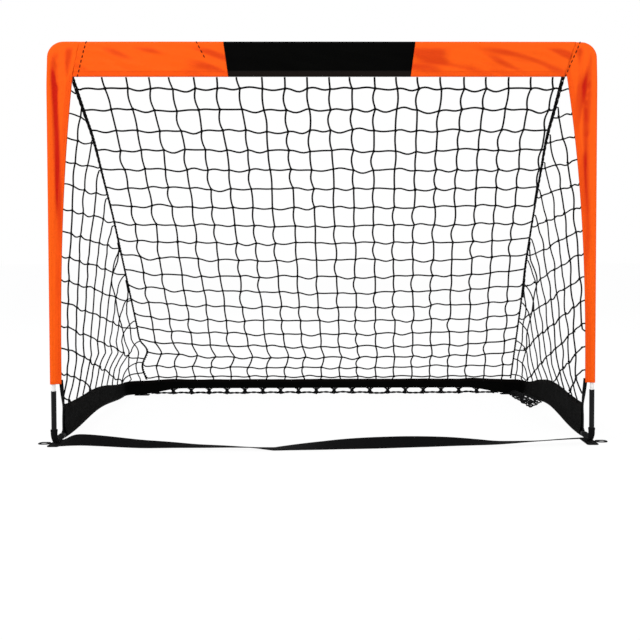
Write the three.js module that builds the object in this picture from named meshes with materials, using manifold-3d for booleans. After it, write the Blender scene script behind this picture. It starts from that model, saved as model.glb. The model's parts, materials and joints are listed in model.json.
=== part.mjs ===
// A portable child's soccer goal. Millimetres, +X right, +Y towards the back of the goal, +Z up.
// Hollow fibreglass poles in cloth sleeves form the front frame. It stands in two bent steel feet,
// and a low three-sided base of poles behind it holds the bottom of the net.
import * as THREE from 'three';
import { mergeVertices } from 'three/addons/utils/BufferGeometryUtils.js';
import Module from 'manifold-3d';

// ---- Driving dimensions ----
const SPAN = 1200; // between the axes of the two uprights
const HEIGHT = 893; // ground to the top of the crossbar sleeve
const DEPTH = 600; // front pole axis to rear pole axis
const FIT = 0.35; // gap between pieces that touch

const ROD_RADIUS = 4.2; // fibreglass tube
const ROD_BORE = 2.7;
const CORD_RADIUS = 1.9; // elastic shock cord inside the tubes
const STEEL_WALL = 0.8; // elbows and ferrules slide over the rods
const CLOTH = 1.2; // cloth round a pole, both layers
const FIN = 3; // thickness of the doubled cloth beside a pole
const TUBE_SIDES = 10;

const CROSSBAR_DROP = 76; // height of the crossbar sleeve
const TOP_BEND = 32; // bend radii of the elbows, at the tube's axis
const FOOT_BEND = 15;
const REAR_BEND = 36;
const TOP_LEG = 45; // straight legs of the elbows
const REAR_LEG = 50;
const FOOT_LEG = 66;
const FERRULE = 60; // length of a joint ferrule
const ROD_GAP = 0.8; // between two rods inside a ferrule

const SOCKET_TOP = 122; // open top of a foot elbow above the ground
const SOCKET_DEPTH = 50; // how far an upright reaches into its foot
const SLEEVE_BOTTOM = 138; // lower hem of the post sleeves

// Cloth width inwards from the pole's axis, at the crossbar and at the lower hem.
const POST_CLOTH = { left: { top: 45, bottom: 14 }, right: { top: 62, bottom: 21 } };
const TAPER_POWER = 3;
// Seams across the crossbar, at its top and bottom edges: the corner seams as distances inwards
// from the uprights, the centre panel's seams as distances from the goal's middle.
const CORNER_SEAM = { left: [69, 49], right: [42, 67] };
const PANEL_SEAM = { left: [-218, -208], right: [204, 194] };

const TAB = 2; // webbing under the rear corners and feet
const STRIP_TOP = { left: [70, 50, 33], right: [69, 58, 34], rear: 19 }; // above the pole's axis
const SIDE_LIFT = { left: 14, right: 20 }; // how far the bowed poles lift off the ground
const REAR_LIFT = 18;
const STRIP_SETBACK = 62; // front end of a base strip behind the uprights
const STRIP_WRAP = 54; // how far a side strip turns round its rear corner

const NET = 2; // thickness of the net's stand-in sheets
const NET_SAG = 24;
const CORNER_CORD = 2.2; // radius of the cord along each slanting corner of the net
const BAND = { width: 9, thickness: 2 }; // front edge band
const STRAP = { width: 25, thickness: 1.6, bow: 18 }; // ground strap across the mouth
const POCKET = { wall: 2, top: 36, back: 46, sole: [26, 62, 2.2] };
const TAB_SIZE = [44, 36];
const LOOP = { length: 28, width: 20, thickness: 1.6, slot: [15, 9], rest: 0.2 };

// ---- Worked out from the above ----
const facet = Math.cos(Math.PI / TUBE_SIDES); // flat over corner of a round section
const steelBore = (ROD_RADIUS + FIT) / facet;
const steelRadius = steelBore + STEEL_WALL;
const channel = (steelRadius + FIT) / facet;
const sleeveRadius = channel + CLOTH;
const poleTop = HEIGHT - sleeveRadius;
const groundAxis = TAB + FIT + sleeveRadius; // height of the base poles' axis at the corners
const half = SPAN / 2;
const crossbarBottom = HEIGHT - CROSSBAR_DROP;
const UP = new THREE.Vector3(0, 0, 1);
const RIGHT = new THREE.Vector3(1, 0, 0);
const BACK = new THREE.Vector3(0, 1, 0);

const vec = (x, y, z) => new THREE.Vector3(x, y, z);
const mix = THREE.MathUtils.lerp;

// ---- Materials ----
const finish = (color, roughness, metalness = 0) =>
  new THREE.MeshStandardMaterial({ color, roughness, metalness });
const finishes = {
  orange: () => finish(0xf2520f, 0.75),
  black: () => finish(0x17171a, 0.8),
  net: () => finish(0x1c1c1f, 0.85),
  webbing: () => finish(0x141416, 0.85),
  steel: () => finish(0x1b1b1d, 0.45, 0.6),
  zinc: () => finish(0xb9bcc0, 0.35, 0.9),
  fibreglass: () => finish(0xf2f1ec, 0.4),
  elastic: () => finish(0xdedede, 0.8),
};

const goal = new THREE.Group();
function add(name, geometry, material) {
  const mesh = new THREE.Mesh(geometry, finishes[material]());
  mesh.name = name;
  goal.add(mesh);
}

// ---- A run: the bent centre line that poles, sleeves and cords follow ----
class Run {
  constructor(points) {
    this.points = points;
    this.lengths = [0];
    points.slice(1).forEach((p, i) => this.lengths.push(this.lengths[i] + p.distanceTo(points[i])));
    this.length = this.lengths.at(-1);
  }

  // Length from the start to the corner point that lies at a given place.
  lengthAt(place) {
    return this.lengths[this.points.findIndex((p) => p.distanceTo(place) < 0.01)];
  }

  // Stations from start to end: both ends and every corner point between them.
  stations(start, end) {
    const inner = this.lengths.filter((s) => s > start + 0.01 && s < end - 0.01);
    return [start, ...inner, end];
  }

  // The point and direction at a length. At a corner point the direction is the mitre's.
  at(s) {
    const last = this.points.length - 2;
    const found = this.lengths.findIndex((l) => l > s + 1e-6) - 1;
    const i = found < 0 ? last : found;
    const direction = (k) => this.points[k + 1].clone().sub(this.points[k]).normalize();
    const along = s - this.lengths[i];
    const tangent = direction(i);
    const point = this.points[i].clone().addScaledVector(tangent, along);
    if (along < 1e-6 && i > 0) tangent.add(direction(i - 1)).normalize();
    return { point, tangent };
  }
}

// A quarter bend between two straight directions, from start, as a list of points.
function bend(start, from, to, radius, steps = 6) {
  const centre = start.clone().addScaledVector(to, radius);
  return Array.from({ length: steps + 1 }, (_, i) => {
    const angle = (Math.PI / 2) * (i / steps);
    return centre.clone()
      .addScaledVector(to, -radius * Math.cos(angle))
      .addScaledVector(from, radius * Math.sin(angle));
  });
}

// A bowed stretch from a to b, at the given shares of its length, lifted by rise(share).
const bowed = (a, b, shares, rise) =>
  shares.map((t) => a.clone().lerp(b, t).addScaledVector(UP, rise(t)));
const evenShares = (steps) => Array.from({ length: steps + 1 }, (_, i) => i / steps);

const join = (...lists) => lists.flatMap((list, i) => (i ? list.slice(1) : list));

// Front run: up the left post, across and down the right post, from socket floor to socket floor.
const rodEnd = SOCKET_TOP - SOCKET_DEPTH;
const DOWN = UP.clone().negate();
const leftBend = bend(vec(-half, 0, poleTop - TOP_BEND), UP, RIGHT, TOP_BEND);
const rightBend = bend(vec(half - TOP_BEND, 0, poleTop), RIGHT, DOWN, TOP_BEND);
const frontRun = new Run([
  vec(-half, 0, rodEnd), ...leftBend, ...rightBend, vec(half, 0, rodEnd),
]);
const postLength = frontRun.lengthAt(leftBend[0]);
const barStart = frontRun.lengthAt(leftBend.at(-1));
const barEnd = frontRun.length - barStart;

// Base run: from the left foot back, round the rear and forward to the right foot.
const sideArch = (lift) => (t) => lift * Math.sin(Math.PI * t) ** 2;
const REAR_RISE = 0.12; // share of the rear pole over which it rises from each corner
const rearArch = (t) =>
  REAR_LIFT * THREE.MathUtils.smoothstep(0.5 - Math.abs(t - 0.5), 0, REAR_RISE);
const footEnd = FOOT_BEND + FOOT_LEG; // rear end of a foot elbow
const corner = DEPTH - REAR_BEND;
const sideShares = evenShares(6);
const risingShares = evenShares(4).map((t) => t * REAR_RISE);
const rearShares = [...risingShares, ...risingShares.map((t) => 1 - t).reverse()];
const leftSide = bowed(vec(-half, footEnd, groundAxis), vec(-half, corner, groundAxis),
  sideShares, sideArch(SIDE_LIFT.left));
const rightSide = bowed(vec(half, corner, groundAxis), vec(half, footEnd, groundAxis),
  sideShares, sideArch(SIDE_LIFT.right));
const rear = bowed(vec(-half + REAR_BEND, DEPTH, groundAxis), vec(half - REAR_BEND, DEPTH, groundAxis),
  rearShares, rearArch);
const FRONT = BACK.clone().negate();
const baseRun = new Run(join(
  [vec(-half, FOOT_BEND, groundAxis), leftSide[0]],
  leftSide,
  bend(leftSide.at(-1), BACK, RIGHT, REAR_BEND),
  rear,
  bend(rear.at(-1), RIGHT, FRONT, REAR_BEND),
  rightSide,
  [rightSide.at(-1), vec(half, FOOT_BEND, groundAxis)],
));
const leftCorner = baseRun.lengthAt(leftSide.at(-1));
const rearStart = baseRun.lengthAt(rear[0]);
const rearEnd = baseRun.lengthAt(rear.at(-1));
const rightCorner = baseRun.lengthAt(rightSide[0]);

// Foot run: down into the ground bend and back along the ground, on one side.
const footRun = (x) => new Run([
  vec(x, 0, SOCKET_TOP),
  ...bend(vec(x, 0, groundAxis + FOOT_BEND), DOWN, BACK, FOOT_BEND),
  vec(x, footEnd, groundAxis),
]);

// ---- Shape builders ----

// Moves each vertex of a geometry by a function of its position.
function reshape(geometry, place) {
  const position = geometry.attributes.position;
  for (let i = 0; i < position.count; i++) {
    const p = place(position.getX(i), position.getY(i), position.getZ(i));
    position.setXYZ(i, p.x, p.y, p.z);
  }
  geometry.computeVertexNormals();
  return geometry;
}

// A round tube (or a rod, with no bore) along a run. side is a direction that the run never takes.
function tube(run, start, end, radius, bore, side, sides = TUBE_SIDES) {
  const stations = run.stations(start, end);
  const outside = stations.map((_, i) => new THREE.Vector2(radius, i));
  const inside = bore
    ? stations.map((_, i) => new THREE.Vector2(bore, i)).reverse()
    : [new THREE.Vector2(0, stations.length - 1), new THREE.Vector2(0, 0)];
  const profile = [...outside, ...inside, outside[0]];
  if (!bore) profile.splice(0, profile.length, inside[1], ...outside, inside[0]);
  return reshape(new THREE.LatheGeometry(profile, sides), (x, y, z) => {
    const { point, tangent } = run.at(stations[Math.round(y)]);
    const across = side.clone().cross(tangent).normalize();
    const out = across.clone().cross(tangent);
    return point.addScaledVector(across, x).addScaledVector(out, z);
  });
}

// A cloth strip sewn round a pole, standing up from it. top(s) is its height above the axis.
function strip(run, start, end, top) {
  const full = sleeveRadius * 3;
  const neck = Math.sqrt(sleeveRadius ** 2 - (FIN / 2) ** 2);
  const turn = Math.asin(FIN / 2 / sleeveRadius);
  const shape = new THREE.Shape();
  shape.moveTo(FIN / 2, full);
  shape.lineTo(-FIN / 2, full);
  shape.absarc(0, 0, sleeveRadius, Math.PI / 2 + turn, Math.PI * 2.5 - turn, false);
  const hole = new THREE.Path();
  hole.absarc(0, 0, channel, 0, Math.PI * 2, false);
  shape.holes.push(hole);
  const stations = run.stations(start, end);
  const steps = stations.length - 1;
  const geometry = new THREE.ExtrudeGeometry(shape, {
    depth: 1, steps, bevelEnabled: false, curveSegments: TUBE_SIDES / 2 + 1,
  });
  return reshape(geometry, (x, y, z) => {
    const s = stations[Math.round(z * steps)];
    const { point, tangent } = run.at(s);
    const across = UP.clone().cross(tangent).normalize();
    const rise = y <= sleeveRadius ? y : neck + ((y - neck) / (full - neck)) * (top(s) - neck);
    const up = tangent.clone().cross(across);
    return point.addScaledVector(across, x).addScaledVector(up, rise);
  });
}

// A thin sheet over surface(u, v), as thick each way as half its thickness.
function sheet(columns, rows, thickness, surface) {
  const step = 1e-3;
  return reshape(new THREE.BoxGeometry(1, 1, 1, columns, rows, 1), (x, y, z) => {
    const u = x + 0.5;
    const v = y + 0.5;
    const du = surface(Math.min(u + step, 1), v).sub(surface(Math.max(u - step, 0), v));
    const dv = surface(u, Math.min(v + step, 1)).sub(surface(u, Math.max(v - step, 0)));
    return surface(u, v).addScaledVector(du.cross(dv).normalize(), thickness * z);
  });
}

const wasm = await Module();
wasm.setup();

function toSolid(geometry) {
  const bare = geometry.clone();
  bare.deleteAttribute('normal');
  bare.deleteAttribute('uv');
  const merged = mergeVertices(bare, 1e-4);
  return new wasm.Manifold(new wasm.Mesh({
    numProp: 3,
    vertProperties: new Float32Array(merged.attributes.position.array),
    triVerts: new Uint32Array(merged.index.array),
  }));
}

function toGeometry(solid) {
  const mesh = solid.getMesh();
  const geometry = new THREE.BufferGeometry();
  geometry.setAttribute('position', new THREE.BufferAttribute(mesh.vertProperties, 3));
  geometry.setIndex(new THREE.BufferAttribute(mesh.triVerts, 1));
  geometry.computeVertexNormals();
  return geometry;
}

// A flat plate seen from the front: an outline in X and Z, given a thickness along Y.
function frontPlate(outline, thickness) {
  const shape = new THREE.Shape(outline.map(([x, z]) => new THREE.Vector2(x, z)));
  const geometry = new THREE.ExtrudeGeometry(shape, { depth: thickness, bevelEnabled: false });
  geometry.rotateX(Math.PI / 2);
  return geometry.translate(0, thickness / 2, 0);
}

// ---- Front frame ----
const frontTube = (start, end, radius, bore) => tube(frontRun, start, end, radius, bore, BACK);

// Rods between two ends of a straight stretch, with a ferrule over each joint.
function rodLine(makeTube, start, end, rodNames, ferruleNames) {
  const pitch = (end - start) / rodNames.length;
  rodNames.forEach((name, i) => {
    const from = start + i * pitch + (i ? ROD_GAP / 2 : 0);
    const to = start + (i + 1) * pitch - (i < rodNames.length - 1 ? ROD_GAP / 2 : 0);
    add(name, makeTube(from, to, ROD_RADIUS, ROD_BORE), 'fibreglass');
  });
  ferruleNames.forEach((name, i) => {
    const middle = start + (i + 1) * pitch;
    const [from, to] = [middle - FERRULE / 2, middle + FERRULE / 2];
    add(name, makeTube(from, to, steelRadius, steelBore), 'zinc');
  });
}

const ROD_STOP = 5; // a rod ends this far before the elbow's bend
rodLine(frontTube, 0, postLength - ROD_STOP,
  ['upright_left_lower', 'upright_left_upper'], ['upright_left_ferrule']);
rodLine(frontTube, barStart + ROD_STOP, barEnd - ROD_STOP,
  ['crossbar_pole_left', 'crossbar_pole_middle', 'crossbar_pole_right'],
  ['crossbar_ferrule_left', 'crossbar_ferrule_right']);
rodLine(frontTube, frontRun.length - postLength + ROD_STOP, frontRun.length,
  ['upright_right_upper', 'upright_right_lower'], ['upright_right_ferrule']);
add('top_elbow_left',
  frontTube(postLength - TOP_LEG, barStart + TOP_LEG, steelRadius, steelBore), 'steel');
add('top_elbow_right',
  frontTube(barEnd - TOP_LEG, frontRun.length - postLength + TOP_LEG, steelRadius, steelBore), 'steel');
const CORD_INSET = 4; // the shock cord stops this far inside the rods' open ends
add('shock_cord_front', tube(frontRun, CORD_INSET, frontRun.length - CORD_INSET,
  CORD_RADIUS, 0, BACK, 6), 'elastic');

// Inner edge of a post's cloth, as a distance from the pole's axis at height z.
function clothWidth(side, z) {
  const { top, bottom } = POST_CLOTH[side];
  const share = (z - SLEEVE_BOTTOM) / (crossbarBottom - SLEEVE_BOTTOM);
  return bottom + (top - bottom) * THREE.MathUtils.clamp(share, 0, 1) ** TAPER_POWER;
}

// The cloth's doubled flat part: a plate inside the pole run, with both posts tapered.
const TAPER_STEPS = 8;
const heights = Array.from({ length: TAPER_STEPS + 1 },
  (_, i) => mix(SLEEVE_BOTTOM, crossbarBottom, i / TAPER_STEPS));
const flatCloth = frontPlate([
  [-half, SLEEVE_BOTTOM],
  ...heights.map((z) => [-half + clothWidth('left', z), z]),
  ...heights.map((z) => [half - clothWidth('right', z), z]).reverse(),
  [half, SLEEVE_BOTTOM],
  ...rightBend.map((p) => [p.x, p.z]).reverse(),
  ...leftBend.map((p) => [p.x, p.z]).reverse(),
], FIN);

const sleeveStart = SLEEVE_BOTTOM - rodEnd;
const OVERRUN = 20; // cutters run this far past what they cut
const wholeSleeve = toSolid(flatCloth)
  .add(toSolid(frontTube(sleeveStart, frontRun.length - sleeveStart, sleeveRadius, 0)))
  .subtract(toSolid(frontTube(sleeveStart - OVERRUN, frontRun.length - sleeveStart + OVERRUN,
    channel, 0)));

// A seam line carried past the sleeve's edges, moved sideways by half the seam gap.
function seam([top, bottom], shift) {
  const slope = (top - bottom) / CROSSBAR_DROP;
  return [
    [top + slope * OVERRUN + shift, HEIGHT + OVERRUN],
    [bottom - slope * OVERRUN + shift, crossbarBottom - OVERRUN],
  ];
}
const gap = FIT / 2;
const outer = half + 2 * OVERRUN;
const cornerSeam = {
  left: CORNER_SEAM.left.map((inset) => inset - half),
  right: CORNER_SEAM.right.map((inset) => half - inset),
};
const regions = {
  post_sleeve_left: [
    [-outer, HEIGHT + OVERRUN], ...seam(cornerSeam.left, -gap), [-outer / 2, 0], [-outer, 0],
  ],
  crossbar_sleeve_left: [...seam(cornerSeam.left, gap), ...seam(PANEL_SEAM.left, -gap).reverse()],
  crossbar_sleeve_middle: [...seam(PANEL_SEAM.left, gap), ...seam(PANEL_SEAM.right, -gap).reverse()],
  crossbar_sleeve_right: [...seam(PANEL_SEAM.right, gap), ...seam(cornerSeam.right, -gap).reverse()],
  post_sleeve_right: [
    [outer, HEIGHT + OVERRUN], ...seam(cornerSeam.right, gap), [outer / 2, 0], [outer, 0],
  ],
};
for (const [name, outline] of Object.entries(regions)) {
  const region = toSolid(frontPlate(outline, 4 * sleeveRadius));
  const color = name === 'crossbar_sleeve_middle' ? 'black' : 'orange';
  add(name, toGeometry(wholeSleeve.intersect(region)), color);
}

// ---- Base poles ----
const baseTube = (start, end, radius, bore) => tube(baseRun, start, end, radius, bore, UP);
const footReach = ROD_STOP; // a side pole starts this far behind the foot's bend
add('side_pole_left', baseTube(footReach, leftCorner - ROD_STOP, ROD_RADIUS, ROD_BORE), 'fibreglass');
add('side_pole_right',
  baseTube(rightCorner + ROD_STOP, baseRun.length - footReach, ROD_RADIUS, ROD_BORE), 'fibreglass');
rodLine(baseTube, rearStart + ROD_STOP, rearEnd - ROD_STOP,
  ['rear_pole_left', 'rear_pole_middle', 'rear_pole_right'],
  ['rear_ferrule_left', 'rear_ferrule_right']);
add('rear_elbow_left',
  baseTube(leftCorner - REAR_LEG, rearStart + REAR_LEG, steelRadius, steelBore), 'steel');
add('rear_elbow_right',
  baseTube(rearEnd - REAR_LEG, rightCorner + REAR_LEG, steelRadius, steelBore), 'steel');
add('shock_cord_base', tube(baseRun, CORD_INSET + footReach, baseRun.length - CORD_INSET - footReach,
  CORD_RADIUS, 0, UP, 6), 'elastic');

// ---- Base strips: cloth sewn round the base poles ----
const stripFront = STRIP_SETBACK - FOOT_BEND;
const quadratic = ([a, b, c], t) => a + (4 * b - 3 * a - c) * t + (2 * a + 2 * c - 4 * b) * t * t;
const cornerBlend = (s, from, to, side) => {
  const t = THREE.MathUtils.clamp((s - from) / (to - from), 0, 1);
  return quadratic(STRIP_TOP[side], t);
};
// Height of the strip's top edge above the pole's axis, anywhere along the base run.
function stripTop(s) {
  if (s < rearStart) return cornerBlend(s, stripFront, leftCorner, 'left');
  if (s > rearEnd) return cornerBlend(s, baseRun.length - stripFront, rightCorner, 'right');
  const end = s < (rearStart + rearEnd) / 2 ? 'left' : 'right';
  const inside = Math.min(s - rearStart, rearEnd - s);
  return mix(STRIP_TOP[end][2], STRIP_TOP.rear, THREE.MathUtils.smoothstep(inside, 0, 3 * STRIP_WRAP));
}
const leftSeam = rearStart + STRIP_WRAP - REAR_BEND;
const rightSeam = rearEnd - STRIP_WRAP + REAR_BEND;
add('base_strip_left', strip(baseRun, stripFront, leftSeam - gap, stripTop), 'black');
add('base_strip_rear', strip(baseRun, leftSeam + gap, rightSeam - gap, stripTop), 'black');
add('base_strip_right', strip(baseRun, rightSeam + gap, baseRun.length - stripFront, stripTop), 'black');

// ---- Feet ----
const soleMiddle = POCKET.sole[1] / 2 - POCKET.sole[0] / 2;
for (const [side, x] of [['left', -half], ['right', half]]) {
  const run = footRun(x);
  const footTube = (end, radius, bore) => tube(run, 0, end, radius, bore, RIGHT);
  add(`foot_elbow_${side}`, footTube(run.length, steelRadius, steelBore), 'steel');
  const sole = new THREE.BoxGeometry(...POCKET.sole).translate(x, soleMiddle, POCKET.sole[2] / 2);
  const pocketEnd = run.length - footEnd + POCKET.back;
  const pocket = toSolid(tube(run, SOCKET_TOP - POCKET.top, pocketEnd, channel + POCKET.wall, 0, RIGHT))
    .add(toSolid(sole))
    .subtract(toSolid(footTube(run.length, channel, 0)));
  add(`foot_pocket_${side}`, toGeometry(pocket), 'webbing');
}
for (const [side, x] of [['left', -1], ['right', 1]]) {
  const tab = new THREE.BoxGeometry(...TAB_SIZE, TAB);
  tab.translate(x * (half - REAR_BEND - TAB_SIZE[0] / 4), DEPTH + sleeveRadius + TAB - TAB_SIZE[1] / 2, TAB / 2);
  add(`rear_tab_${side}`, tab, 'webbing');
}

// A flat webbing loop with a slot for a peg, lying outwards along +X from its hinge line.
function stakeLoop() {
  const { length, width, thickness, slot } = LOOP;
  const outline = new THREE.Shape();
  outline.moveTo(0, -width / 2);
  outline.lineTo(length - width / 2, -width / 2);
  outline.absarc(length - width / 2, 0, width / 2, -Math.PI / 2, Math.PI / 2, false);
  outline.lineTo(0, width / 2);
  const hole = new THREE.Path();
  const [long, wide] = slot;
  const from = length - width / 2 - (long - wide);
  hole.absarc(length - width / 2, 0, wide / 2, -Math.PI / 2, Math.PI / 2, false);
  hole.absarc(from, 0, wide / 2, Math.PI / 2, Math.PI * 1.5, false);
  outline.holes.push(hole);
  return new THREE.ExtrudeGeometry(outline, { depth: thickness, bevelEnabled: false, curveSegments: 4 });
}
const loopGap = (FIT + LOOP.thickness) / 2; // from the webbing to the line a loop turns about
const loopPlaces = {
  front_left: [-half - POCKET.sole[0] / 2 - loopGap, soleMiddle, Math.PI],
  front_right: [half + POCKET.sole[0] / 2 + loopGap, soleMiddle, 0],
  rear_left: [-half + REAR_BEND + TAB_SIZE[0] / 4, DEPTH + sleeveRadius + TAB + loopGap, Math.PI / 2],
  rear_right: [half - REAR_BEND - TAB_SIZE[0] / 4, DEPTH + sleeveRadius + TAB + loopGap, Math.PI / 2],
};
for (const [name, [x, y, turn]] of Object.entries(loopPlaces)) {
  add(`stake_loop_${name}`, stakeLoop().rotateZ(turn).translate(x, y, LOOP.rest), 'webbing');
}

// ---- Net ----
// Corner cords: distance inwards from the upright at each share of the way down from the crossbar.
const CORD_ROUTE = {
  left: [[0, 49], [0.16, 64], [0.4, 69], [0.7, 68], [0.83, 67], [0.875, 81], [0.94, 57], [1, 60]],
  right: [[0, 69], [0.16, 77], [0.37, 71], [0.54, 65], [0.7, 54], [0.9, 43], [1, 38]],
};
const rowShares = [0, 0.08, 0.16, 0.27, 0.4, 0.54, 0.62, 0.7, 0.77, 0.83, 0.875, 0.94, 1];
const lookUp = (pairs, t) => {
  const i = Math.max(1, pairs.findIndex(([share]) => share >= t - 1e-9));
  const [[t0, a], [t1, b]] = [pairs[i - 1], pairs[i]];
  return mix(a, b, (t - t0) / (t1 - t0));
};
// Spreads the even rows or columns of a sheet onto the given shares.
const spread = (shares) => (v) => lookUp(shares.map((t, i) => [i / (shares.length - 1), t]), v);
const rowAt = spread(rowShares);
const netFront = FIN / 2 + 2 * FIT; // the nets' front edges lie just behind the sleeves' cloth
const netLift = 1.5; // the nets' lower edges lie this far above the base strips

// A point on the base strips' top edge, at a length along the base run.
const stripEdge = (s) => baseRun.at(s).point.addScaledVector(UP, stripTop(s) + netLift);
const cordFoot = {
  left: rearStart + CORD_ROUTE.left.at(-1)[1] - REAR_BEND,
  right: rearEnd - CORD_ROUTE.right.at(-1)[1] + REAR_BEND,
};

function cordPoint(side, t) {
  const top = vec(0, netFront + CORNER_CORD, crossbarBottom - 3 * FIT);
  const foot = stripEdge(cordFoot[side]).addScaledVector(UP, CORNER_CORD);
  const across = half - lookUp(CORD_ROUTE[side], t);
  return vec(side === 'left' ? -across : across, mix(top.y, foot.y, t), mix(top.z, foot.z, t));
}
for (const side of ['left', 'right']) {
  const run = new Run(rowShares.map((t) => cordPoint(side, t)));
  add(`corner_cord_${side}`, tube(run, 0, run.length, CORNER_CORD, 0, RIGHT, 6), 'net');
}

// A sheet between two edges, its lower edge pulled onto the base strips from one length to another.
function netSheet(from, to, [start, end], sag) {
  const columns = baseRun.stations(start, end).map((s) => (s - start) / (end - start));
  const columnAt = spread(columns);
  const slack = (u) => stripEdge(mix(start, end, u)).sub(from(1).lerp(to(1), u));
  return sheet(columns.length - 1, rowShares.length - 1, NET, (across, v) => {
    const u = columnAt(across);
    const t = rowAt(v);
    const drop = sag * Math.sin(Math.PI * t ** 1.25) * Math.sqrt(Math.max(0, 4 * u * (1 - u)));
    return from(t).lerp(to(t), u).addScaledVector(slack(u), t ** 3).addScaledVector(UP, -drop);
  });
}
// The nets' slanting edges run beside a corner cord, this far to one side of it.
const beside = CORNER_CORD + NET / 2 + FIT;
const besideCord = (side, shift) => (t) => cordPoint(side, t).addScaledVector(RIGHT, shift);
add('net_back', netSheet(besideCord('left', beside), besideCord('right', -beside),
  [cordFoot.left + beside, cordFoot.right - beside], NET_SAG), 'net');

// Front edge of a side net: down the inside of the post's cloth, then back to the base strip.
const LAST_ROW = rowShares.at(-2);
function netEdge(side) {
  const sign = side === 'left' ? -1 : 1;
  const top = crossbarBottom - 8;
  const hem = SLEEVE_BOTTOM + 5;
  const corner = vec(sign * half, STRIP_SETBACK, groundAxis + STRIP_TOP[side][0] + netLift);
  const onPost = (z) => vec(sign * (half - clothWidth(side, z)), netFront, z);
  return (t) => (t <= LAST_ROW
    ? onPost(mix(top, hem, t / LAST_ROW))
    : onPost(hem).lerp(corner, (t - LAST_ROW) / (1 - LAST_ROW)));
}
add('net_left', netSheet(netEdge('left'), besideCord('left', -beside),
  [stripFront, cordFoot.left - beside], 0), 'net');
add('net_right', netSheet(besideCord('right', beside), netEdge('right'),
  [cordFoot.right + beside, baseRun.length - stripFront], 0), 'net');

// ---- Bands and strap ----
// A flat ribbon along a run. across(s, tangent) is the direction of its width.
function ribbon(run, { width, thickness }, across) {
  const stations = run.stations(0, run.length);
  const steps = stations.length - 1;
  return reshape(new THREE.BoxGeometry(1, 1, 1, 1, steps, 1), (x, y, z) => {
    const s = stations[Math.round((y + 0.5) * steps)];
    const { point, tangent } = run.at(s);
    const wide = across(s, tangent);
    const thick = wide.clone().cross(tangent).normalize();
    return point.addScaledVector(wide, x * width).addScaledVector(thick, z * thickness);
  });
}

for (const [side, sign] of [['left', -1], ['right', 1]]) {
  const inner = half - POST_CLOTH[side].bottom - FIT;
  const bandY = STRIP_SETBACK - BAND.width / 2 - FIT;
  const run = new Run([
    vec(sign * inner, BAND.width / 2, SLEEVE_BOTTOM - BAND.width / 2 - FIT),
    vec(sign * half, bandY, groundAxis + STRIP_TOP[side][0] - BAND.width / 4),
    vec(sign * half, bandY, groundAxis + channel + FIT),
  ]);
  add(`front_band_${side}`, ribbon(run, BAND, (s, tangent) => RIGHT.clone().cross(tangent).normalize()),
    'webbing');
}

// The strap turns over as it crosses the mouth: degrees from flat at each share of its length.
const STRAP_TWIST = [[0, 70], [0.05, 90], [0.37, 180], [0.69, 270], [0.92, 360], [1, 390]];
const strapEnd = half - POCKET.sole[0] / 2 - FIT;
const strapTwist = (t) => THREE.MathUtils.degToRad(lookUp(STRAP_TWIST, t));
const strapRun = new Run(evenShares(40).map((t) => vec(
  mix(-strapEnd, strapEnd, t),
  -STRAP.bow * Math.sin(Math.PI * t),
  LOOP.rest + STRAP.thickness / 2 + (STRAP.width / 2) * Math.abs(Math.sin(strapTwist(t))),
)));
add('ground_strap', ribbon(strapRun, STRAP, (s) => {
  const twist = strapTwist(s / strapRun.length);
  return BACK.clone().multiplyScalar(Math.cos(twist)).addScaledVector(UP, Math.sin(twist));
}), 'webbing');

// The origin is under the middle of the whole goal, at ground level.
const bounds = new THREE.Box3().setFromObject(goal, true);
const centre = bounds.getCenter(new THREE.Vector3());
goal.position.set(-centre.x, -centre.y, -bounds.min.z);

export default goal;
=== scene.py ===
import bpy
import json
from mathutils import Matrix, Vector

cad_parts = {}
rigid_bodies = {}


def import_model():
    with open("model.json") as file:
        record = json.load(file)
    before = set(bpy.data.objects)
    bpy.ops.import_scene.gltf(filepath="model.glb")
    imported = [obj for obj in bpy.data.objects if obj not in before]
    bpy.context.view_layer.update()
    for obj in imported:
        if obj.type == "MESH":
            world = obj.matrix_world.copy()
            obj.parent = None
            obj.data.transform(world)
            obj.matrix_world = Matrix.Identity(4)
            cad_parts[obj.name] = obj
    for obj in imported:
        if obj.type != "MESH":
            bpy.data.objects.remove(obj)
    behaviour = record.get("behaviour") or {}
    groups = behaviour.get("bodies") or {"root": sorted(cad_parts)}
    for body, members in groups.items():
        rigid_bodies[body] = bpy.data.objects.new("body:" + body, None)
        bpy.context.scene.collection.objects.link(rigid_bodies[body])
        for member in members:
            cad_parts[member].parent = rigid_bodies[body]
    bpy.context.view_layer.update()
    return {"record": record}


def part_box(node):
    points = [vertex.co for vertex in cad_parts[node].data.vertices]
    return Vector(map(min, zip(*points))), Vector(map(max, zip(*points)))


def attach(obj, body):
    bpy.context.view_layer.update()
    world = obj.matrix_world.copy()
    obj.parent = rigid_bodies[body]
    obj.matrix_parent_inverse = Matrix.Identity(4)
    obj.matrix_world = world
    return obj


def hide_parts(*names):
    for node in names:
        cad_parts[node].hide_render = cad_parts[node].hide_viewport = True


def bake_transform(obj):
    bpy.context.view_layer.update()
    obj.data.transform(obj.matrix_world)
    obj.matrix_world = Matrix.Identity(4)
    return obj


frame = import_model()

# %% [markdown]
# A portable child's goal. Hollow poles in orange and black cloth sleeves make the front frame,
# black cloth strips hold the ground poles, and a knotted string net hangs between them.
# The frame already holds the poles, elbows and ferrules at their real size. This lesson gives
# those a finish, and makes the cloth, the webbing and the net as real soft pieces around them.

# %% Imports and short names
import json
import math

import bmesh
import bpy
import numpy as np
from mathutils import Vector, noise
from mathutils.bvhtree import BVHTree

scene = bpy.context.scene
UP, RIGHT, BACK = Vector((0, 0, 1)), Vector((1, 0, 0)), Vector((0, 1, 0))
SIDES = {"left": -1, "right": 1}
MM = 0.001


def mix(a, b, t):
    return a + (b - a) * t


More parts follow.
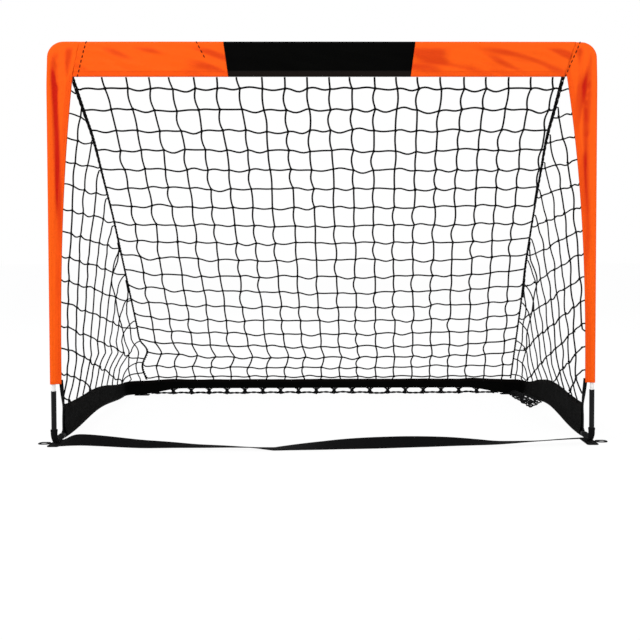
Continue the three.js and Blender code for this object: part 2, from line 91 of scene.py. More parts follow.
def smooth(t, start=0.0, end=1.0):
    t = min(1.0, max(0.0, (t - start) / (end - start)))
    return t * t * (3 - 2 * t)


def middle(node):
    low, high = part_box(node)
    return (Vector(low) + Vector(high)) / 2


def look_up(pairs, t):
    """Reads a short table of (share, value) along straight lines."""
    for (t0, a), (t1, b) in zip(pairs, pairs[1:]):
        if t <= t1:
            break
    return mix(a, b, (t - t0) / (t1 - t0))


# %% Driving places, read from the frame
FRONT = middle("crossbar_pole_middle").y
BAR_Z = middle("crossbar_pole_middle").z
HALF = middle("upright_right_lower").x
REAR = middle("rear_pole_middle").y
SLEEVE_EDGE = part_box("crossbar_sleeve_middle")[0][2]
SLEEVE_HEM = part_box("post_sleeve_left")[0][2]
SLEEVE_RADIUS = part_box("crossbar_sleeve_middle")[1][2] - BAR_Z
print(f"front plane y={FRONT:.3f}, crossbar z={BAR_Z:.3f}, rear pole y={REAR:.3f}")

# %% [markdown]
# The camera stands in front of the mouth, about half way up, and looks almost level. A small
# downward tilt and some lens shift keep the posts nearly upright in the picture, as a
# photographer does with a view camera. A slight turn brings the left post a little nearer.

# %% Camera
CAMERA_PLACE = (0.0145, FRONT - 1.6776, 0.4265)
CAMERA_TILT, CAMERA_TURN, CAMERA_ROLL = 1.55, 0.444, 0.111  # degrees down, right and clockwise
LENS, SENSOR = 42.51, 36
CAMERA_SHIFT = (-0.0243, -0.0717)

camera = bpy.data.objects.new("camera", bpy.data.cameras.new("camera"))
scene.collection.objects.link(camera)
scene.camera = camera
camera.data.lens = LENS
camera.data.sensor_width = SENSOR
camera.data.shift_x, camera.data.shift_y = CAMERA_SHIFT
camera.location = CAMERA_PLACE
camera.rotation_euler = (
    math.radians(90 - CAMERA_TILT), math.radians(CAMERA_ROLL), math.radians(-CAMERA_TURN))
print("camera", CAMERA_PLACE)

# %% [markdown]
# Soft studio light: a pale world lights everything evenly, and two large area lamps above the
# camera and one behind the goal give the cloth its gentle shading. The floor and the world look white to the camera,
# but send only plain light onto the goal, so its colours render as they are written.

# %% World, lamps and floor
scene.view_settings.view_transform = "Standard"


def camera_sees(nodes, links):
    """1 where a ray comes from the camera, from a shiny surface or through a clear one."""
    light_path = nodes.new("ShaderNodeLightPath")
    first, second = nodes.new("ShaderNodeMath"), nodes.new("ShaderNodeMath")
    first.operation = second.operation = "MAXIMUM"
    links.new(light_path.outputs["Is Camera Ray"], first.inputs[0])
    links.new(light_path.outputs["Is Glossy Ray"], first.inputs[1])
    links.new(first.outputs[0], second.inputs[0])
    links.new(light_path.outputs["Is Transmission Ray"], second.inputs[1])
    return second.outputs[0]


world = bpy.data.worlds.new("studio")
scene.world = world
world.use_nodes = True
nodes, links = world.node_tree.nodes, world.node_tree.links
nodes.clear()
soft_light, white = nodes.new("ShaderNodeBackground"), nodes.new("ShaderNodeBackground")
soft_light.inputs["Color"].default_value = (0.94, 0.96, 1.0, 1)
soft_light.inputs["Strength"].default_value = 0.62
white.inputs["Color"].default_value = (1, 1, 1, 1)
white.inputs["Strength"].default_value = 1.0
chooser, world_out = nodes.new("ShaderNodeMixShader"), nodes.new("ShaderNodeOutputWorld")
links.new(camera_sees(nodes, links), chooser.inputs["Fac"])
links.new(soft_light.outputs[0], chooser.inputs[1])
links.new(white.outputs[0], chooser.inputs[2])
links.new(chooser.outputs[0], world_out.inputs["Surface"])


def area_lamp(name, place, target, size, watts):
    lamp = bpy.data.objects.new(name, bpy.data.lights.new(name, "AREA"))
    scene.collection.objects.link(lamp)
    lamp.data.shape = "RECTANGLE"
    lamp.data.size, lamp.data.size_y = size
    lamp.data.energy = watts
    lamp.location = place
    lamp.rotation_euler = (Vector(target) - Vector(place)).to_track_quat("-Z", "Y").to_euler()


area_lamp("key_lamp", (-1.5, FRONT - 1.7, 2.3), (0, FRONT, 0.5), (0.9, 0.9), 34)
area_lamp("fill_lamp", (1.8, FRONT - 1.8, 1.6), (0, FRONT, 0.4), (1.6, 1.6), 17)
area_lamp("back_lamp", (0, REAR + 2.2, 2.2), (0, FRONT, 0.4), (1.6, 1.6), 22)

FLOOR_HALF = 30
floor_mesh = bpy.data.meshes.new("floor")
floor_mesh.from_pydata(
    [(x * FLOOR_HALF, y * FLOOR_HALF, 0) for x, y in ((-1, -1), (1, -1), (1, 1), (-1, 1))],
    [], [(0, 1, 2, 3)])
floor = bpy.data.objects.new("floor", floor_mesh)
scene.collection.objects.link(floor)
floor_material = bpy.data.materials.new("pale_floor")
floor_material.use_nodes = True
nodes, links = floor_material.node_tree.nodes, floor_material.node_tree.links
matt = nodes["Principled BSDF"]
matt.inputs["Base Color"].default_value = (0.9, 0.9, 0.9, 1)
matt.inputs["Roughness"].default_value = 0.9
glow, seen = nodes.new("ShaderNodeEmission"), nodes.new("ShaderNodeMath")
seen.operation = "MULTIPLY"
FLOOR_GLOW, GLOW_STRENGTH = 0.93, 1.02
glow.inputs["Strength"].default_value = GLOW_STRENGTH
seen.inputs[1].default_value = FLOOR_GLOW
floor_mix = nodes.new("ShaderNodeMixShader")
links.new(camera_sees(nodes, links), seen.inputs[0])
links.new(seen.outputs[0], floor_mix.inputs["Fac"])
links.new(matt.outputs[0], floor_mix.inputs[1])
links.new(glow.outputs[0], floor_mix.inputs[2])
links.new(floor_mix.outputs[0], nodes["Material Output"].inputs["Surface"])
floor_mesh.materials.append(floor_material)

# %% [markdown]
# Effects that several finishes share are shader node groups: a plain weave of threads, the ribs
# of webbing, the twist of a string, and a slow cloudy change that stands for dust and wear.
# Each puts out only heights and masks, and each material mixes them with its own values.


# %% Shader groups
class Wiring:
    """Adds and joins nodes in one tree, so that the recipes below stay short."""

    def __init__(self, tree):
        self.tree = tree

    def node(self, kind, operation=None, **values):
        node = self.tree.nodes.new(kind)
        if operation:
            node.operation = operation
        for name, value in values.items():
            if hasattr(value, "links"):
                self.tree.links.new(value, node.inputs[name.replace("_", " ")])
            else:
                node.inputs[name.replace("_", " ")].default_value = value
        return node

    def math(self, operation, *values):
        node = self.tree.nodes.new("ShaderNodeMath")
        node.operation = operation
        for socket, value in zip(node.inputs, values):
            if hasattr(value, "links"):
                self.tree.links.new(value, socket)
            else:
                socket.default_value = value
        return node.outputs[0]


FLOAT, VECTOR, GEOMETRY = "NodeSocketFloat", "NodeSocketVector", "NodeSocketGeometry"


def node_tree(name, kind, inputs, outputs):
    tree = bpy.data.node_groups.new(name, kind)
    for direction, sockets in (("INPUT", inputs), ("OUTPUT", outputs)):
        for socket, socket_kind in sockets:
            tree.interface.new_socket(socket, in_out=direction, socket_type=socket_kind)
    return tree


def group(name, inputs, outputs):
    tree = node_tree(name, "ShaderNodeTree", inputs, [(socket, FLOAT) for socket in outputs])
    return tree, Wiring(tree), tree.nodes.new("NodeGroupInput"), tree.nodes.new("NodeGroupOutput")


weave_group, w, gin, gout = group(
    "plain_weave", [("Vector", VECTOR), ("Threads", FLOAT)], ["Height", "Tone"])
split = w.node("ShaderNodeSeparateXYZ", Vector=gin.outputs["Vector"])
turns = []
for k in (0, 1):
    threads = w.math("MULTIPLY", split.outputs[k], gin.outputs["Threads"])
    turns.append(w.math("SINE", w.math("MULTIPLY", threads, math.pi)))
over_under = w.math("MULTIPLY", turns[0], turns[1])
w.tree.links.new(w.math("ABSOLUTE", over_under), gout.inputs["Height"])
streaks = []
for k in (0, 1):
    stretched = w.tree.nodes.new("ShaderNodeMapping")
    stretched.inputs["Scale"].default_value = (900, 25, 1) if k else (25, 900, 1)
    w.tree.links.new(gin.outputs["Vector"], stretched.inputs["Vector"])
    streak = w.node("ShaderNodeTexNoise", Vector=stretched.outputs[0], Scale=1.0, Detail=1.0)
    streaks.append(streak.outputs[0])
w.tree.links.new(w.math("MULTIPLY", w.math("ADD", *streaks), 0.5), gout.inputs["Tone"])

rib_group, w, gin, gout = group(
    "webbing_ribs", [("Vector", VECTOR), ("Ribs", FLOAT)], ["Height"])
split = w.node("ShaderNodeSeparateXYZ", Vector=gin.outputs["Vector"])
along = w.math("MULTIPLY", split.outputs[0], gin.outputs["Ribs"])
over = w.math("MULTIPLY", split.outputs[1], gin.outputs["Ribs"])
lean = w.math("MULTIPLY", w.math("PINGPONG", over, 1.0), 0.8)
chevron = w.math("SINE", w.math("MULTIPLY", w.math("ADD", along, lean), 2 * math.pi))
row = w.math("ABSOLUTE", w.math("SINE", w.math("MULTIPLY", over, math.pi)))
w.tree.links.new(w.math("MULTIPLY", w.math("ADD", w.math("MULTIPLY", chevron, 0.5), 0.5), row),
                 gout.inputs["Height"])

twist_group, w, gin, gout = group(
    "string_twist", [("Along", FLOAT), ("Round", FLOAT), ("Pitch", FLOAT)], ["Height"])
phase = w.math("ADD", w.math("DIVIDE", gin.outputs["Along"], gin.outputs["Pitch"]),
               w.math("MULTIPLY", gin.outputs["Round"], 3.0))
w.tree.links.new(w.math("ABSOLUTE", w.math("SINE", w.math("MULTIPLY", phase, math.pi))),
                 gout.inputs["Height"])

cloud_group, w, gin, gout = group(
    "dust_and_wear", [("Vector", VECTOR), ("Scale", FLOAT)], ["Cloud", "Specks"])
cloud = w.node("ShaderNodeTexNoise", Vector=gin.outputs["Vector"], Scale=gin.outputs["Scale"],
               Detail=4.0, Roughness=0.6)
specks = w.node("ShaderNodeTexNoise", Vector=gin.outputs["Vector"], Scale=420.0, Detail=2.0)
w.tree.links.new(cloud.outputs[0], gout.inputs["Cloud"])
w.tree.links.new(w.math("GREATER_THAN", specks.outputs[0], 0.68), gout.inputs["Specks"])
print("shader groups:", [g.name for g in bpy.data.node_groups])


# %% Finishes
ROUGHNESS_SPREAD = 0.22


class Finish(Wiring):
    """A material with one Principled shader and the shared dust group already placed."""

    def __init__(self, name, roughness, metallic=0.0, cloud_scale=9.0, **constants):
        self.material = bpy.data.materials.new(name)
        self.material.use_nodes = True
        super().__init__(self.material.node_tree)
        self.shader = self.tree.nodes["Principled BSDF"]
        self.shader.inputs["Metallic"].default_value = metallic
        for socket, value in constants.items():
            self.shader.inputs[socket.replace("_", " ")].default_value = value
        self.place = self.tree.nodes.new("ShaderNodeTexCoord")
        self.dust = self.use(cloud_group, Vector=self.place.outputs["Object"], Scale=cloud_scale)
        uneven_wear = self.math("MULTIPLY", self.dust["Cloud"], ROUGHNESS_SPREAD)
        self.feed("Roughness", self.math("ADD", uneven_wear, roughness - ROUGHNESS_SPREAD / 2))

    def use(self, tree, **values):
        node = self.tree.nodes.new("ShaderNodeGroup")
        node.node_tree = tree
        for name, value in values.items():
            if hasattr(value, "links"):
                self.tree.links.new(value, node.inputs[name])
            else:
                node.inputs[name].default_value = value
        return node.outputs

    def feed(self, socket, value):
        self.tree.links.new(value, self.shader.inputs[socket])

    def blend(self, factor, a, b):
        node = self.tree.nodes.new("ShaderNodeMix")
        node.data_type = "RGBA"
        self.tree.links.new(factor, node.inputs["Factor"])
        for socket, value in zip((node.inputs[6], node.inputs[7]), (a, b)):
            if hasattr(value, "links"):
                self.tree.links.new(value, socket)
            else:
                socket.default_value = (*value, 1)
        return node.outputs[2]

    def bump(self, height, depth, strength=1.0):
        node = self.node("ShaderNodeBump", Height=height, Distance=depth, Strength=strength)
        self.feed("Normal", node.outputs[0])

    def attribute(self, name):
        node = self.tree.nodes.new("ShaderNodeAttribute")
        node.attribute_name = name
        return node.outputs["Fac"]


def cloth_finish(name, colour, fold_shade_colour, hem_colour, roughness, specular):
    made = Finish(name, roughness, Specular_IOR_Level=specular, Sheen_Weight=0.01,
                  Sheen_Roughness=0.5)
    threads = made.use(weave_group, Vector=made.place.outputs["UV"], Threads=1700.0)
    light, dark = [tuple(c * k for c in colour) for k in (1.06, 0.90)]
    base = made.blend(threads["Tone"], dark, light)
    base = made.blend(made.attribute("hem"), base, hem_colour)
    # Painted shade: the fold mask darkens the colour in creases, puckers and broad shaded bands.
    base = made.blend(made.attribute("fold"), base, fold_shade_colour)
    faded = tuple(min(1, c * 1.25 + 0.004) for c in colour)
    base = made.blend(made.math("MULTIPLY", made.dust["Specks"], 0.10), base, faded)
    made.feed("Base Color", base)
    made.bump(threads["Height"], 0.00018, 0.6)
    return made.material


ORANGE = (1.0, 0.112, 0.004)
BLACK = (0.0012, 0.0012, 0.0010)
# Each cloth's second colour is its painted fold shade: deep red on orange, a deeper black on black.
orange_cloth = cloth_finish(
    "orange_cloth", ORANGE, (0.56, 0.010, 0.001), (0.93, 0.092, 0.003), 0.62, 0.08)
black_cloth = cloth_finish(
    "black_cloth", BLACK, (0.0006, 0.0006, 0.0005), (0.010, 0.007, 0.006), 0.78, 0.02)


def string_finish(name, colour, pitch, depth):
    made = Finish(name, 0.78, cloud_scale=30.0, Specular_IOR_Level=0.05)
    twist = made.use(twist_group, Along=made.attribute("along"), Round=made.attribute("round"),
                     Pitch=pitch)
    pale = tuple(c * 1.9 + 0.004 for c in colour)
    made.feed("Base Color", made.blend(made.math("MULTIPLY", twist["Height"], 0.6), colour, pale))
    made.bump(twist["Height"], depth)
    return made.material


net_string = string_finish("net_string", (0.004, 0.004, 0.0045), 0.006, 0.0004)
stitch_thread = string_finish("stitch_thread", (0.05, 0.008, 0.004), 0.002, 0.0001)
black_thread = string_finish("black_thread", (0.012, 0.011, 0.012), 0.002, 0.0001)


def webbing_finish(name, colour):
    made = Finish(name, 0.82, Specular_IOR_Level=0.05, Sheen_Weight=0.01, Sheen_Roughness=0.5)
    ribs = made.use(rib_group, Vector=made.place.outputs["UV"], Ribs=520.0)
    worn = tuple(c * 2.2 + 0.002 for c in colour)
    made.feed("Base Color", made.blend(made.math("MULTIPLY", ribs["Height"], 0.7), colour, worn))
    made.bump(ribs["Height"], 0.0004)
    return made.material


webbing = webbing_finish("webbing", (0.003, 0.003, 0.0032))


def hard_finish(name, colour, worn, roughness, metallic, scale, depth, **constants):
    made = Finish(name, roughness, metallic, cloud_scale=scale, **constants)
    made.feed("Base Color", made.blend(made.dust["Cloud"], colour, worn))
    made.bump(made.dust["Cloud"], depth)
    return made.material


black_steel = hard_finish("black_steel", (0.004, 0.004, 0.0045), (0.009, 0.009, 0.0095),
                          0.45, 0.0, 60.0, 0.0001, Specular_IOR_Level=0.12)
zinc_steel = hard_finish("zinc_steel", (0.52, 0.53, 0.55), (0.68, 0.69, 0.71),
                         0.36, 1.0, 140.0, 0.00005)
fibreglass = hard_finish("fibreglass", (0.80, 0.79, 0.76), (0.88, 0.87, 0.85),
                         0.38, 0.0, 90.0, 0.00005)
elastic = hard_finish("elastic", (0.60, 0.60, 0.60), (0.75, 0.75, 0.74), 0.8, 0.0, 300.0, 0.0002)

for slot_name, finish in {
        "orange_cloth": orange_cloth, "black_cloth": black_cloth, "net_string": net_string,
        "webbing": webbing, "black_steel": black_steel, "zinc_steel": zinc_steel,
        "fibreglass": fibreglass, "elastic": elastic}.items():
    for subpart in frame["record"]["subparts"]:
        if subpart["material_slot"] == slot_name:
            for slot in bpy.data.objects[subpart["node"]].material_slots:
                slot.material = finish
print("finishes:", len(bpy.data.materials))

# %% [markdown]
# Most soft pieces here are lofts: one outline, repeated along a path and skinned. A small helper
# builds them with a UV map in metres, so that a weave keeps its true size round every bend.
# Cloth is made as one surface first and gets its thickness from a Solidify modifier.


# %% Lofts and shells
def new_object(name, mesh):
    piece = bpy.data.objects.new(name, mesh)
    scene.collection.objects.link(piece)
    return piece


def loft(name, rows, material, closed=False, caps=False, masks=None):
    """Skins an (n, m, 3) grid of points. closed joins each row's ends, caps fills the two ends."""
    rows = np.asarray(rows, dtype=float)
    n, m = rows.shape[:2]
    along = np.r_[0, np.cumsum(np.linalg.norm(np.diff(rows.mean(1), axis=0), axis=1))]
    ring = np.concatenate([rows, rows[:, :1]], 1) if closed else rows
    widths = np.linalg.norm(np.diff(ring, axis=1), axis=2)
    over = np.concatenate([np.zeros((n, 1)), np.cumsum(widths, 1)], 1)
    faces, corners = [], []
    for i in range(n - 1):
        for j in range(m if closed else m - 1):
            k = (j + 1) % m
            faces.append((i * m + j, i * m + k, (i + 1) * m + k, (i + 1) * m + j))
            corners += [(along[i], over[i, j]), (along[i], over[i, j + 1]),
                        (along[i + 1], over[i + 1, j + 1]), (along[i + 1], over[i + 1, j])]
    if caps:
        faces += [tuple(reversed(range(m))), tuple(range((n - 1) * m, n * m))]
        corners += [(rows[0, j, 0], rows[0, j, 1]) for j in reversed(range(m))]
        corners += [(rows[-1, j, 0], rows[-1, j, 1]) for j in range(m)]
    mesh = bpy.data.meshes.new(name)
    mesh.from_pydata(rows.reshape(-1, 3).tolist(), [], faces)
    layer = mesh.uv_layers.new(name="cut")
    layer.data.foreach_set("uv", np.asarray(corners, dtype=np.float32).ravel())
    for mask, values in (masks or {}).items():
        mesh.attributes.new(mask, "FLOAT", "POINT").data.foreach_set(
            "value", np.asarray(values, dtype=np.float32).ravel())
    mesh.materials.append(material)
    mesh.shade_smooth()
    return new_object(name, mesh)


def signed_volume(mesh):
    mesh.calc_loop_triangles()
    places = np.array([v.co for v in mesh.vertices])
    a, b, c = (places[[t.vertices[k] for t in mesh.loop_triangles]] for k in range(3))
    return float((a * np.cross(b, c)).sum() / 6)


def plain(piece):
    """Turns the piece's modifiers into plain mesh."""
    evaluated = piece.evaluated_get(bpy.context.evaluated_depsgraph_get())
    mesh = bpy.data.meshes.new_from_object(evaluated)
    piece.modifiers.clear()
    piece.data = mesh
    mesh.name = piece.name
    return piece


def settle(piece):
    """Plain mesh, with its faces pointing out."""
    if signed_volume(plain(piece).data) < 0:
        piece.data.flip_normals()
    return piece


def shell(piece, thickness):
    solid = piece.modifiers.new("thickness", "SOLIDIFY")
    solid.thickness, solid.offset = thickness, -1
    solid.use_even_offset = False
    return settle(piece)


def welded(piece, reach=1e-6):
    """Joins the points where a loft meets itself."""
    clean = bmesh.new()
    clean.from_mesh(piece.data)
    bmesh.ops.remove_doubles(clean, verts=clean.verts, dist=reach)
    bmesh.ops.recalc_face_normals(clean, faces=clean.faces)
    clean.to_mesh(piece.data)
    clean.free()
    return settle(piece)


def joined(name, parts):
    """Several plain meshes as one piece."""
    bpy.ops.object.select_all(action="DESELECT")
    for part in parts:
        part.select_set(True)
    bpy.context.view_layer.objects.active = parts[0]
    if len(parts) > 1:
        bpy.ops.object.join()
    parts[0].name = parts[0].data.name = name
    return parts[0]


class Path:
    """A smooth centre line through points, read by length."""

    def __init__(self, points):
        self.points = np.array([tuple(p) for p in points])
        self.lengths = np.r_[0, np.cumsum(np.linalg.norm(np.diff(self.points, axis=0), axis=1))]
        self.length = float(self.lengths[-1])

    def at(self, s):
        return Vector([float(np.interp(s, self.lengths, self.points[:, k])) for k in range(3)])

    def tangent(self, s, reach=1.5 * MM):
        return (self.at(min(s + reach, self.length)) - self.at(max(s - reach, 0))).normalized()


def rounded(points, spacing):
    """A Catmull-Rom line through points, resampled."""
    points = [Vector(p) for p in points]
    points = [2 * points[0] - points[1], *points, 2 * points[-1] - points[-2]]
    fine = []
    for a, b, c, d in zip(points, points[1:], points[2:], points[3:]):
        for k in range(24):
            t = k / 24
            fine.append(0.5 * (2 * b + (c - a) * t + (2 * a - 5 * b + 4 * c - d) * t * t
                               + (3 * b - a - 3 * c + d) * t ** 3))
    path = Path([*fine, points[-2]])
    count = max(2, round(path.length / spacing))
    return [path.at(path.length * k / count) for k in range(count + 1)]


def surface_of(*names):
    """The surface of finished pieces or CAD nodes, to lay things on."""
    places, faces = [], []
    for name in names:
        mesh = bpy.data.objects[name].data
        first = len(places)
        places += [v.co.copy() for v in mesh.vertices]
        faces += [[first + v for v in p.vertices] for p in mesh.polygons]
    return BVHTree.FromPolygons(places, faces)


# %% [markdown]
# The front frame's sleeves are strips of coated cloth, folded over the poles and sewn to
# themselves along the inner edge. Their looks come from the way such cloth lies: tight round the
# pole, a shallow valley beside it, long soft wrinkles, and a doubled hem with a stitch line.
# Each sleeve is one looped surface between two lines, the pole's axis and the hem. The wrinkles
# are sums of stretched noise, so they run with the cloth and can be set by direction and size.
# Shade in the creases, along the long crease beside each post and in broad slanting bands is
# painted into the cloth's colour through its fold mask.

# %% Sleeve shapes
HEM_GAP = 1.15 * MM  # half the gap between the two layers at the hem
HEM_WIDTH = 12 * MM
CLOTH_THICK = 0.6 * MM
SLEEVE_R = SLEEVE_RADIUS - 0.1 * MM
TOP_BEND = 32 * MM
POST_CLOTH = {"left": (49 * MM, 17 * MM), "right": (60 * MM, 15 * MM)}
WIDENING = 2.4  # how late the post cloth widens towards the top
CREASE_SPREAD = 7.5 * MM
CREASE_PATH = {"left": [(0.50, 18), (0.70, 14), (0.87, 7)],
               "right": [(0.50, 14), (0.80, 22), (0.87, 22)]}
CORNER_SEAM = {"left": (HALF - 69 * MM, HALF - 49 * MM),
               "right": (HALF - 42 * MM, HALF - 67 * MM)}
PANEL_SEAM = {"left": (218 * MM, 208 * MM), "right": (204 * MM, 194 * MM)}
SEAM_GAP = 0.08 * MM


def ridge(x, z, tilt, stretch, size, seed):
    """Long wrinkles lying at an angle: -1 in a crease, up to 1 on a crest."""
    c, s = math.cos(tilt), math.sin(tilt)
    a, b = x * c + z * s, z * c - x * s
    return 1 - 2.4 * abs(noise.noise(Vector((a / stretch, b / size, seed))))


def seam_x(pair, sign, z):
    """A slanted seam's distance from the middle at a height."""
    top, bottom = pair
    return sign * mix(bottom, top, (z - SLEEVE_EDGE) / (BAR_Z + SLEEVE_RADIUS - SLEEVE_EDGE))


def bar_wrinkles(x, z, puff):
    """How far the crossbar's cloth stands out from lying flat, and how deep its creases are."""
    slow = noise.noise(Vector((x * 7, z * 9, 3.1))) * 1.4
    long_folds = ridge(x, z, -0.13, 0.20, 0.021, 5.0) * 0.9
    where = smooth(noise.noise(Vector((x * 6, 0, 8))), -0.3, 0.3)
    slants = ridge(x, z, -0.42, 0.12, 0.030, 9.0) * where
    return (slow + long_folds + 1.3 * slants) * puff


def post_wrinkles(x, z, puff):
    slow = noise.noise(Vector((x * 12, z * 5, 13.1))) * 1.2
    drops = ridge(x, z, 1.53, 0.22, 0.012, 15.0)
    cross = ridge(x, z, 0.25, 0.06, 0.022, 19.0) * 0.5 * smooth(z, 0.30, 0.85)
    return (slow + drops + cross) * puff


ARC_STEPS = 12
SHADE_BAND_DEPTH = 0.55


def cloth_shade_bands(tilt):
    """Broad, soft bands of shade lying at an angle, from 0 to 1."""
    c, s = math.cos(tilt), math.sin(tilt)

    def shade_band(place):
        along, over = place.x * c + place.z * s, place.z * c - place.x * s
        return smooth(noise.noise(Vector((along / 0.11, over / 0.020, 31.0))), -0.05, 0.42)

    return shade_band


def sleeve(name, pairs, material, wrinkles, crease, shade_band, slack=1.0):
    """pairs holds (pole axis point, hem point) from one end to the other."""
    rows, fold_shades, hems = [], [], []
    columns = max(8, round(max((hem - axis).length for axis, hem in pairs) / (2.6 * MM)))
    for axis, hem in pairs:
        width = (hem - axis).length
        inward = (hem - axis) / width
        shares = [1 - k / columns for k in range(columns)]
        layer = []
        for face in (-1, 1):
            side = []
            for share in shares:
                place = axis + inward * (share * width)
                hug = (1 - share) ** 2.2
                half_gap = HEM_GAP + (SLEEVE_R - HEM_GAP) * hug
                if face < 0:
                    from_pole = share * width
                    near_hem = mix(0.35, 1, smooth(width - from_pole, 0, 22 * MM))
                    freedom = smooth(from_pole, 2 * MM, 16 * MM) * near_hem
                    lift = 1.4 * wrinkles(place.x, place.z, slack)
                    strength, centre = crease(place)
                    dip = strength * math.exp(-((from_pole - centre) / CREASE_SPREAD) ** 2)
                    half_gap += MM * (lift * freedom * 1.15 + 0.5 * freedom) - dip * 3.0 * MM
                    half_gap = max(half_gap, HEM_GAP)
                    # Painted shade: darker in creases, along the long crease and in broad bands.
                    depth = min(1, max(0, 0.25 - 0.65 * lift) * freedom) ** 1.2
                    shade = min(1, 0.45 * depth + smooth(dip, 0.05, 1.0)
                                + SHADE_BAND_DEPTH * shade_band(place) * freedom)
                else:
                    # Painted shade on the back face, in its wrinkles' creases.
                    shade = 0.25 * max(0, -wrinkles(place.x, place.z, slack))
                in_hem = 1 - smooth(width * (1 - share), HEM_WIDTH - 1 * MM, HEM_WIDTH)
                half_gap += 0.25 * MM * in_hem
                side.append((place + BACK * face * half_gap, shade * (1 - 0.3 * in_hem), in_hem))
            layer.append(side)
        turn = []
        for k in range(1, ARC_STEPS):
            angle = math.pi * k / ARC_STEPS
            turn.append((axis - BACK * SLEEVE_R * math.cos(angle)
                         - inward * SLEEVE_R * math.sin(angle), 0, 0))
        ring = [*layer[0], (axis - BACK * SLEEVE_R, 0, 0), *turn, (axis + BACK * SLEEVE_R, 0, 0),
                *reversed(layer[1])]
        rows.append([tuple(p) for p, _, _ in ring])
        fold_shades.append([f for _, f, _ in ring])
        hems.append([h for _, _, h in ring])
    piece = loft(name, rows, material, closed=True, masks={"fold": fold_shades, "hem": hems})
    return shell(piece, CLOTH_THICK)


def bar_pairs(left, right, step=3 * MM):
    """Points along the crossbar between two slanted seams."""
    count = round((right(BAR_Z) - left(BAR_Z)) / step)
    return [(Vector((mix(left(BAR_Z), right(BAR_Z), k / count), FRONT, BAR_Z)),
             Vector((mix(left(SLEEVE_EDGE), right(SLEEVE_EDGE), k / count), FRONT, SLEEVE_EDGE)))
            for k in range(count + 1)]


def cloth_width(side, z):
    top, bottom = POST_CLOTH[side]
    height = min(1, max(0, (z - SLEEVE_HEM) / (SLEEVE_EDGE - SLEEVE_HEM)))
    return bottom + (top - bottom) * height ** WIDENING


def post_pairs(side):
    """Points up a post and round its top bend, matched to points up the hem's edge."""
    sign = SIDES[side]
    seam = [seam_x(CORNER_SEAM[side], sign, z) + sign * SEAM_GAP for z in (BAR_Z, SLEEVE_EDGE)]
    centre = Vector((sign * (HALF - TOP_BEND), FRONT, BAR_Z - TOP_BEND))
    arc = [centre + Vector((sign * math.cos(a), 0, math.sin(a))) * TOP_BEND
           for a in np.linspace(0, math.pi / 2, 17)]
    fan_start = SLEEVE_EDGE - 30 * MM
    count = round((fan_start - SLEEVE_HEM) / (3 * MM))
    heights = [mix(SLEEVE_HEM, fan_start, k / count) for k in range(count)]
    low = [(Vector((sign * HALF, FRONT, z)), Vector((sign * (HALF - cloth_width(side, z)), FRONT, z)))
           for z in heights]
    outer = Path([Vector((sign * HALF, FRONT, fan_start)), *arc, Vector((seam[0], FRONT, BAR_Z))])
    inner = Path([Vector((sign * (HALF - cloth_width(side, z)), FRONT, z))
                  for z in np.linspace(fan_start, SLEEVE_EDGE, 5)]
                 + [Vector((seam[1], FRONT, SLEEVE_EDGE))])
    steps = round(outer.length / (3 * MM))
    high = [(outer.at(outer.length * k / steps), inner.at(inner.length * k / steps))
            for k in range(steps + 1)]
    return low + high


# %% Sleeves
def seam_line(pair, sign, shift):
    return lambda z: seam_x(pair, sign, z) + shift


gap = SEAM_GAP / 2
left_corner, left_panel = (seam_line(p["left"], -1, gap) for p in (CORNER_SEAM, PANEL_SEAM))
right_panel, right_corner = (seam_line(p["right"], 1, -gap) for p in (PANEL_SEAM, CORNER_SEAM))
no_crease = lambda place: (0.0, 0.0)


def post_crease(side, low, full, strength):
    """The long fold beside a post: its strength and its distance from the pole at a place."""
    return lambda p: (strength * smooth(p.z, low, full) * (1 - smooth(p.z, 0.80, 0.865)),
                      MM * look_up(CREASE_PATH[side], min(0.87, max(0.50, p.z))))


bar_shade_band, post_shade_band = cloth_shade_bands(-0.32), cloth_shade_bands(1.50)


sleeves = {
    "crossbar_sleeve_left": (bar_pairs(left_corner, lambda z: left_panel(z) - 2 * gap), orange_cloth,
                             bar_wrinkles, no_crease, bar_shade_band, 1.0),
    "crossbar_sleeve_middle": (bar_pairs(left_panel, right_panel), black_cloth, bar_wrinkles,
                               no_crease, bar_shade_band, 0.8),
    "crossbar_sleeve_right": (bar_pairs(lambda z: right_panel(z) + 2 * gap, right_corner),
                              orange_cloth, bar_wrinkles, no_crease, bar_shade_band, 1.0),
    "post_sleeve_left": (post_pairs("left"), orange_cloth, post_wrinkles,
                         post_crease("left", 0.36, 0.60, 1.0), post_shade_band, 1.0),
    "post_sleeve_right": (post_pairs("right"), orange_cloth, post_wrinkles,
                          post_crease("right", 0.30, 0.55, 0.6), post_shade_band, 1.25),
}
for node, (pairs, material, wrinkles, crease, shade_band, slack) in sleeves.items():
    piece = sleeve(node.replace("sleeve", "cloth"), pairs, material, wrinkles, crease, shade_band, slack)
    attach(piece, "front_frame")
    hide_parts(node)

# %% [markdown]
# The net is what one sees first: about 50 mm squares of twisted string, knotted at each crossing,
# sagging a little between the knots. It could be a wire modifier on a grid, but then the strings
# would have no knots and no twist. Here each string is its own line of points, laid on the net's
# real surface in the frame by casting a ray at it, and Geometry Nodes turn the lines into round
# strings and put a small knot at every crossing. The same tree makes cords and loops.


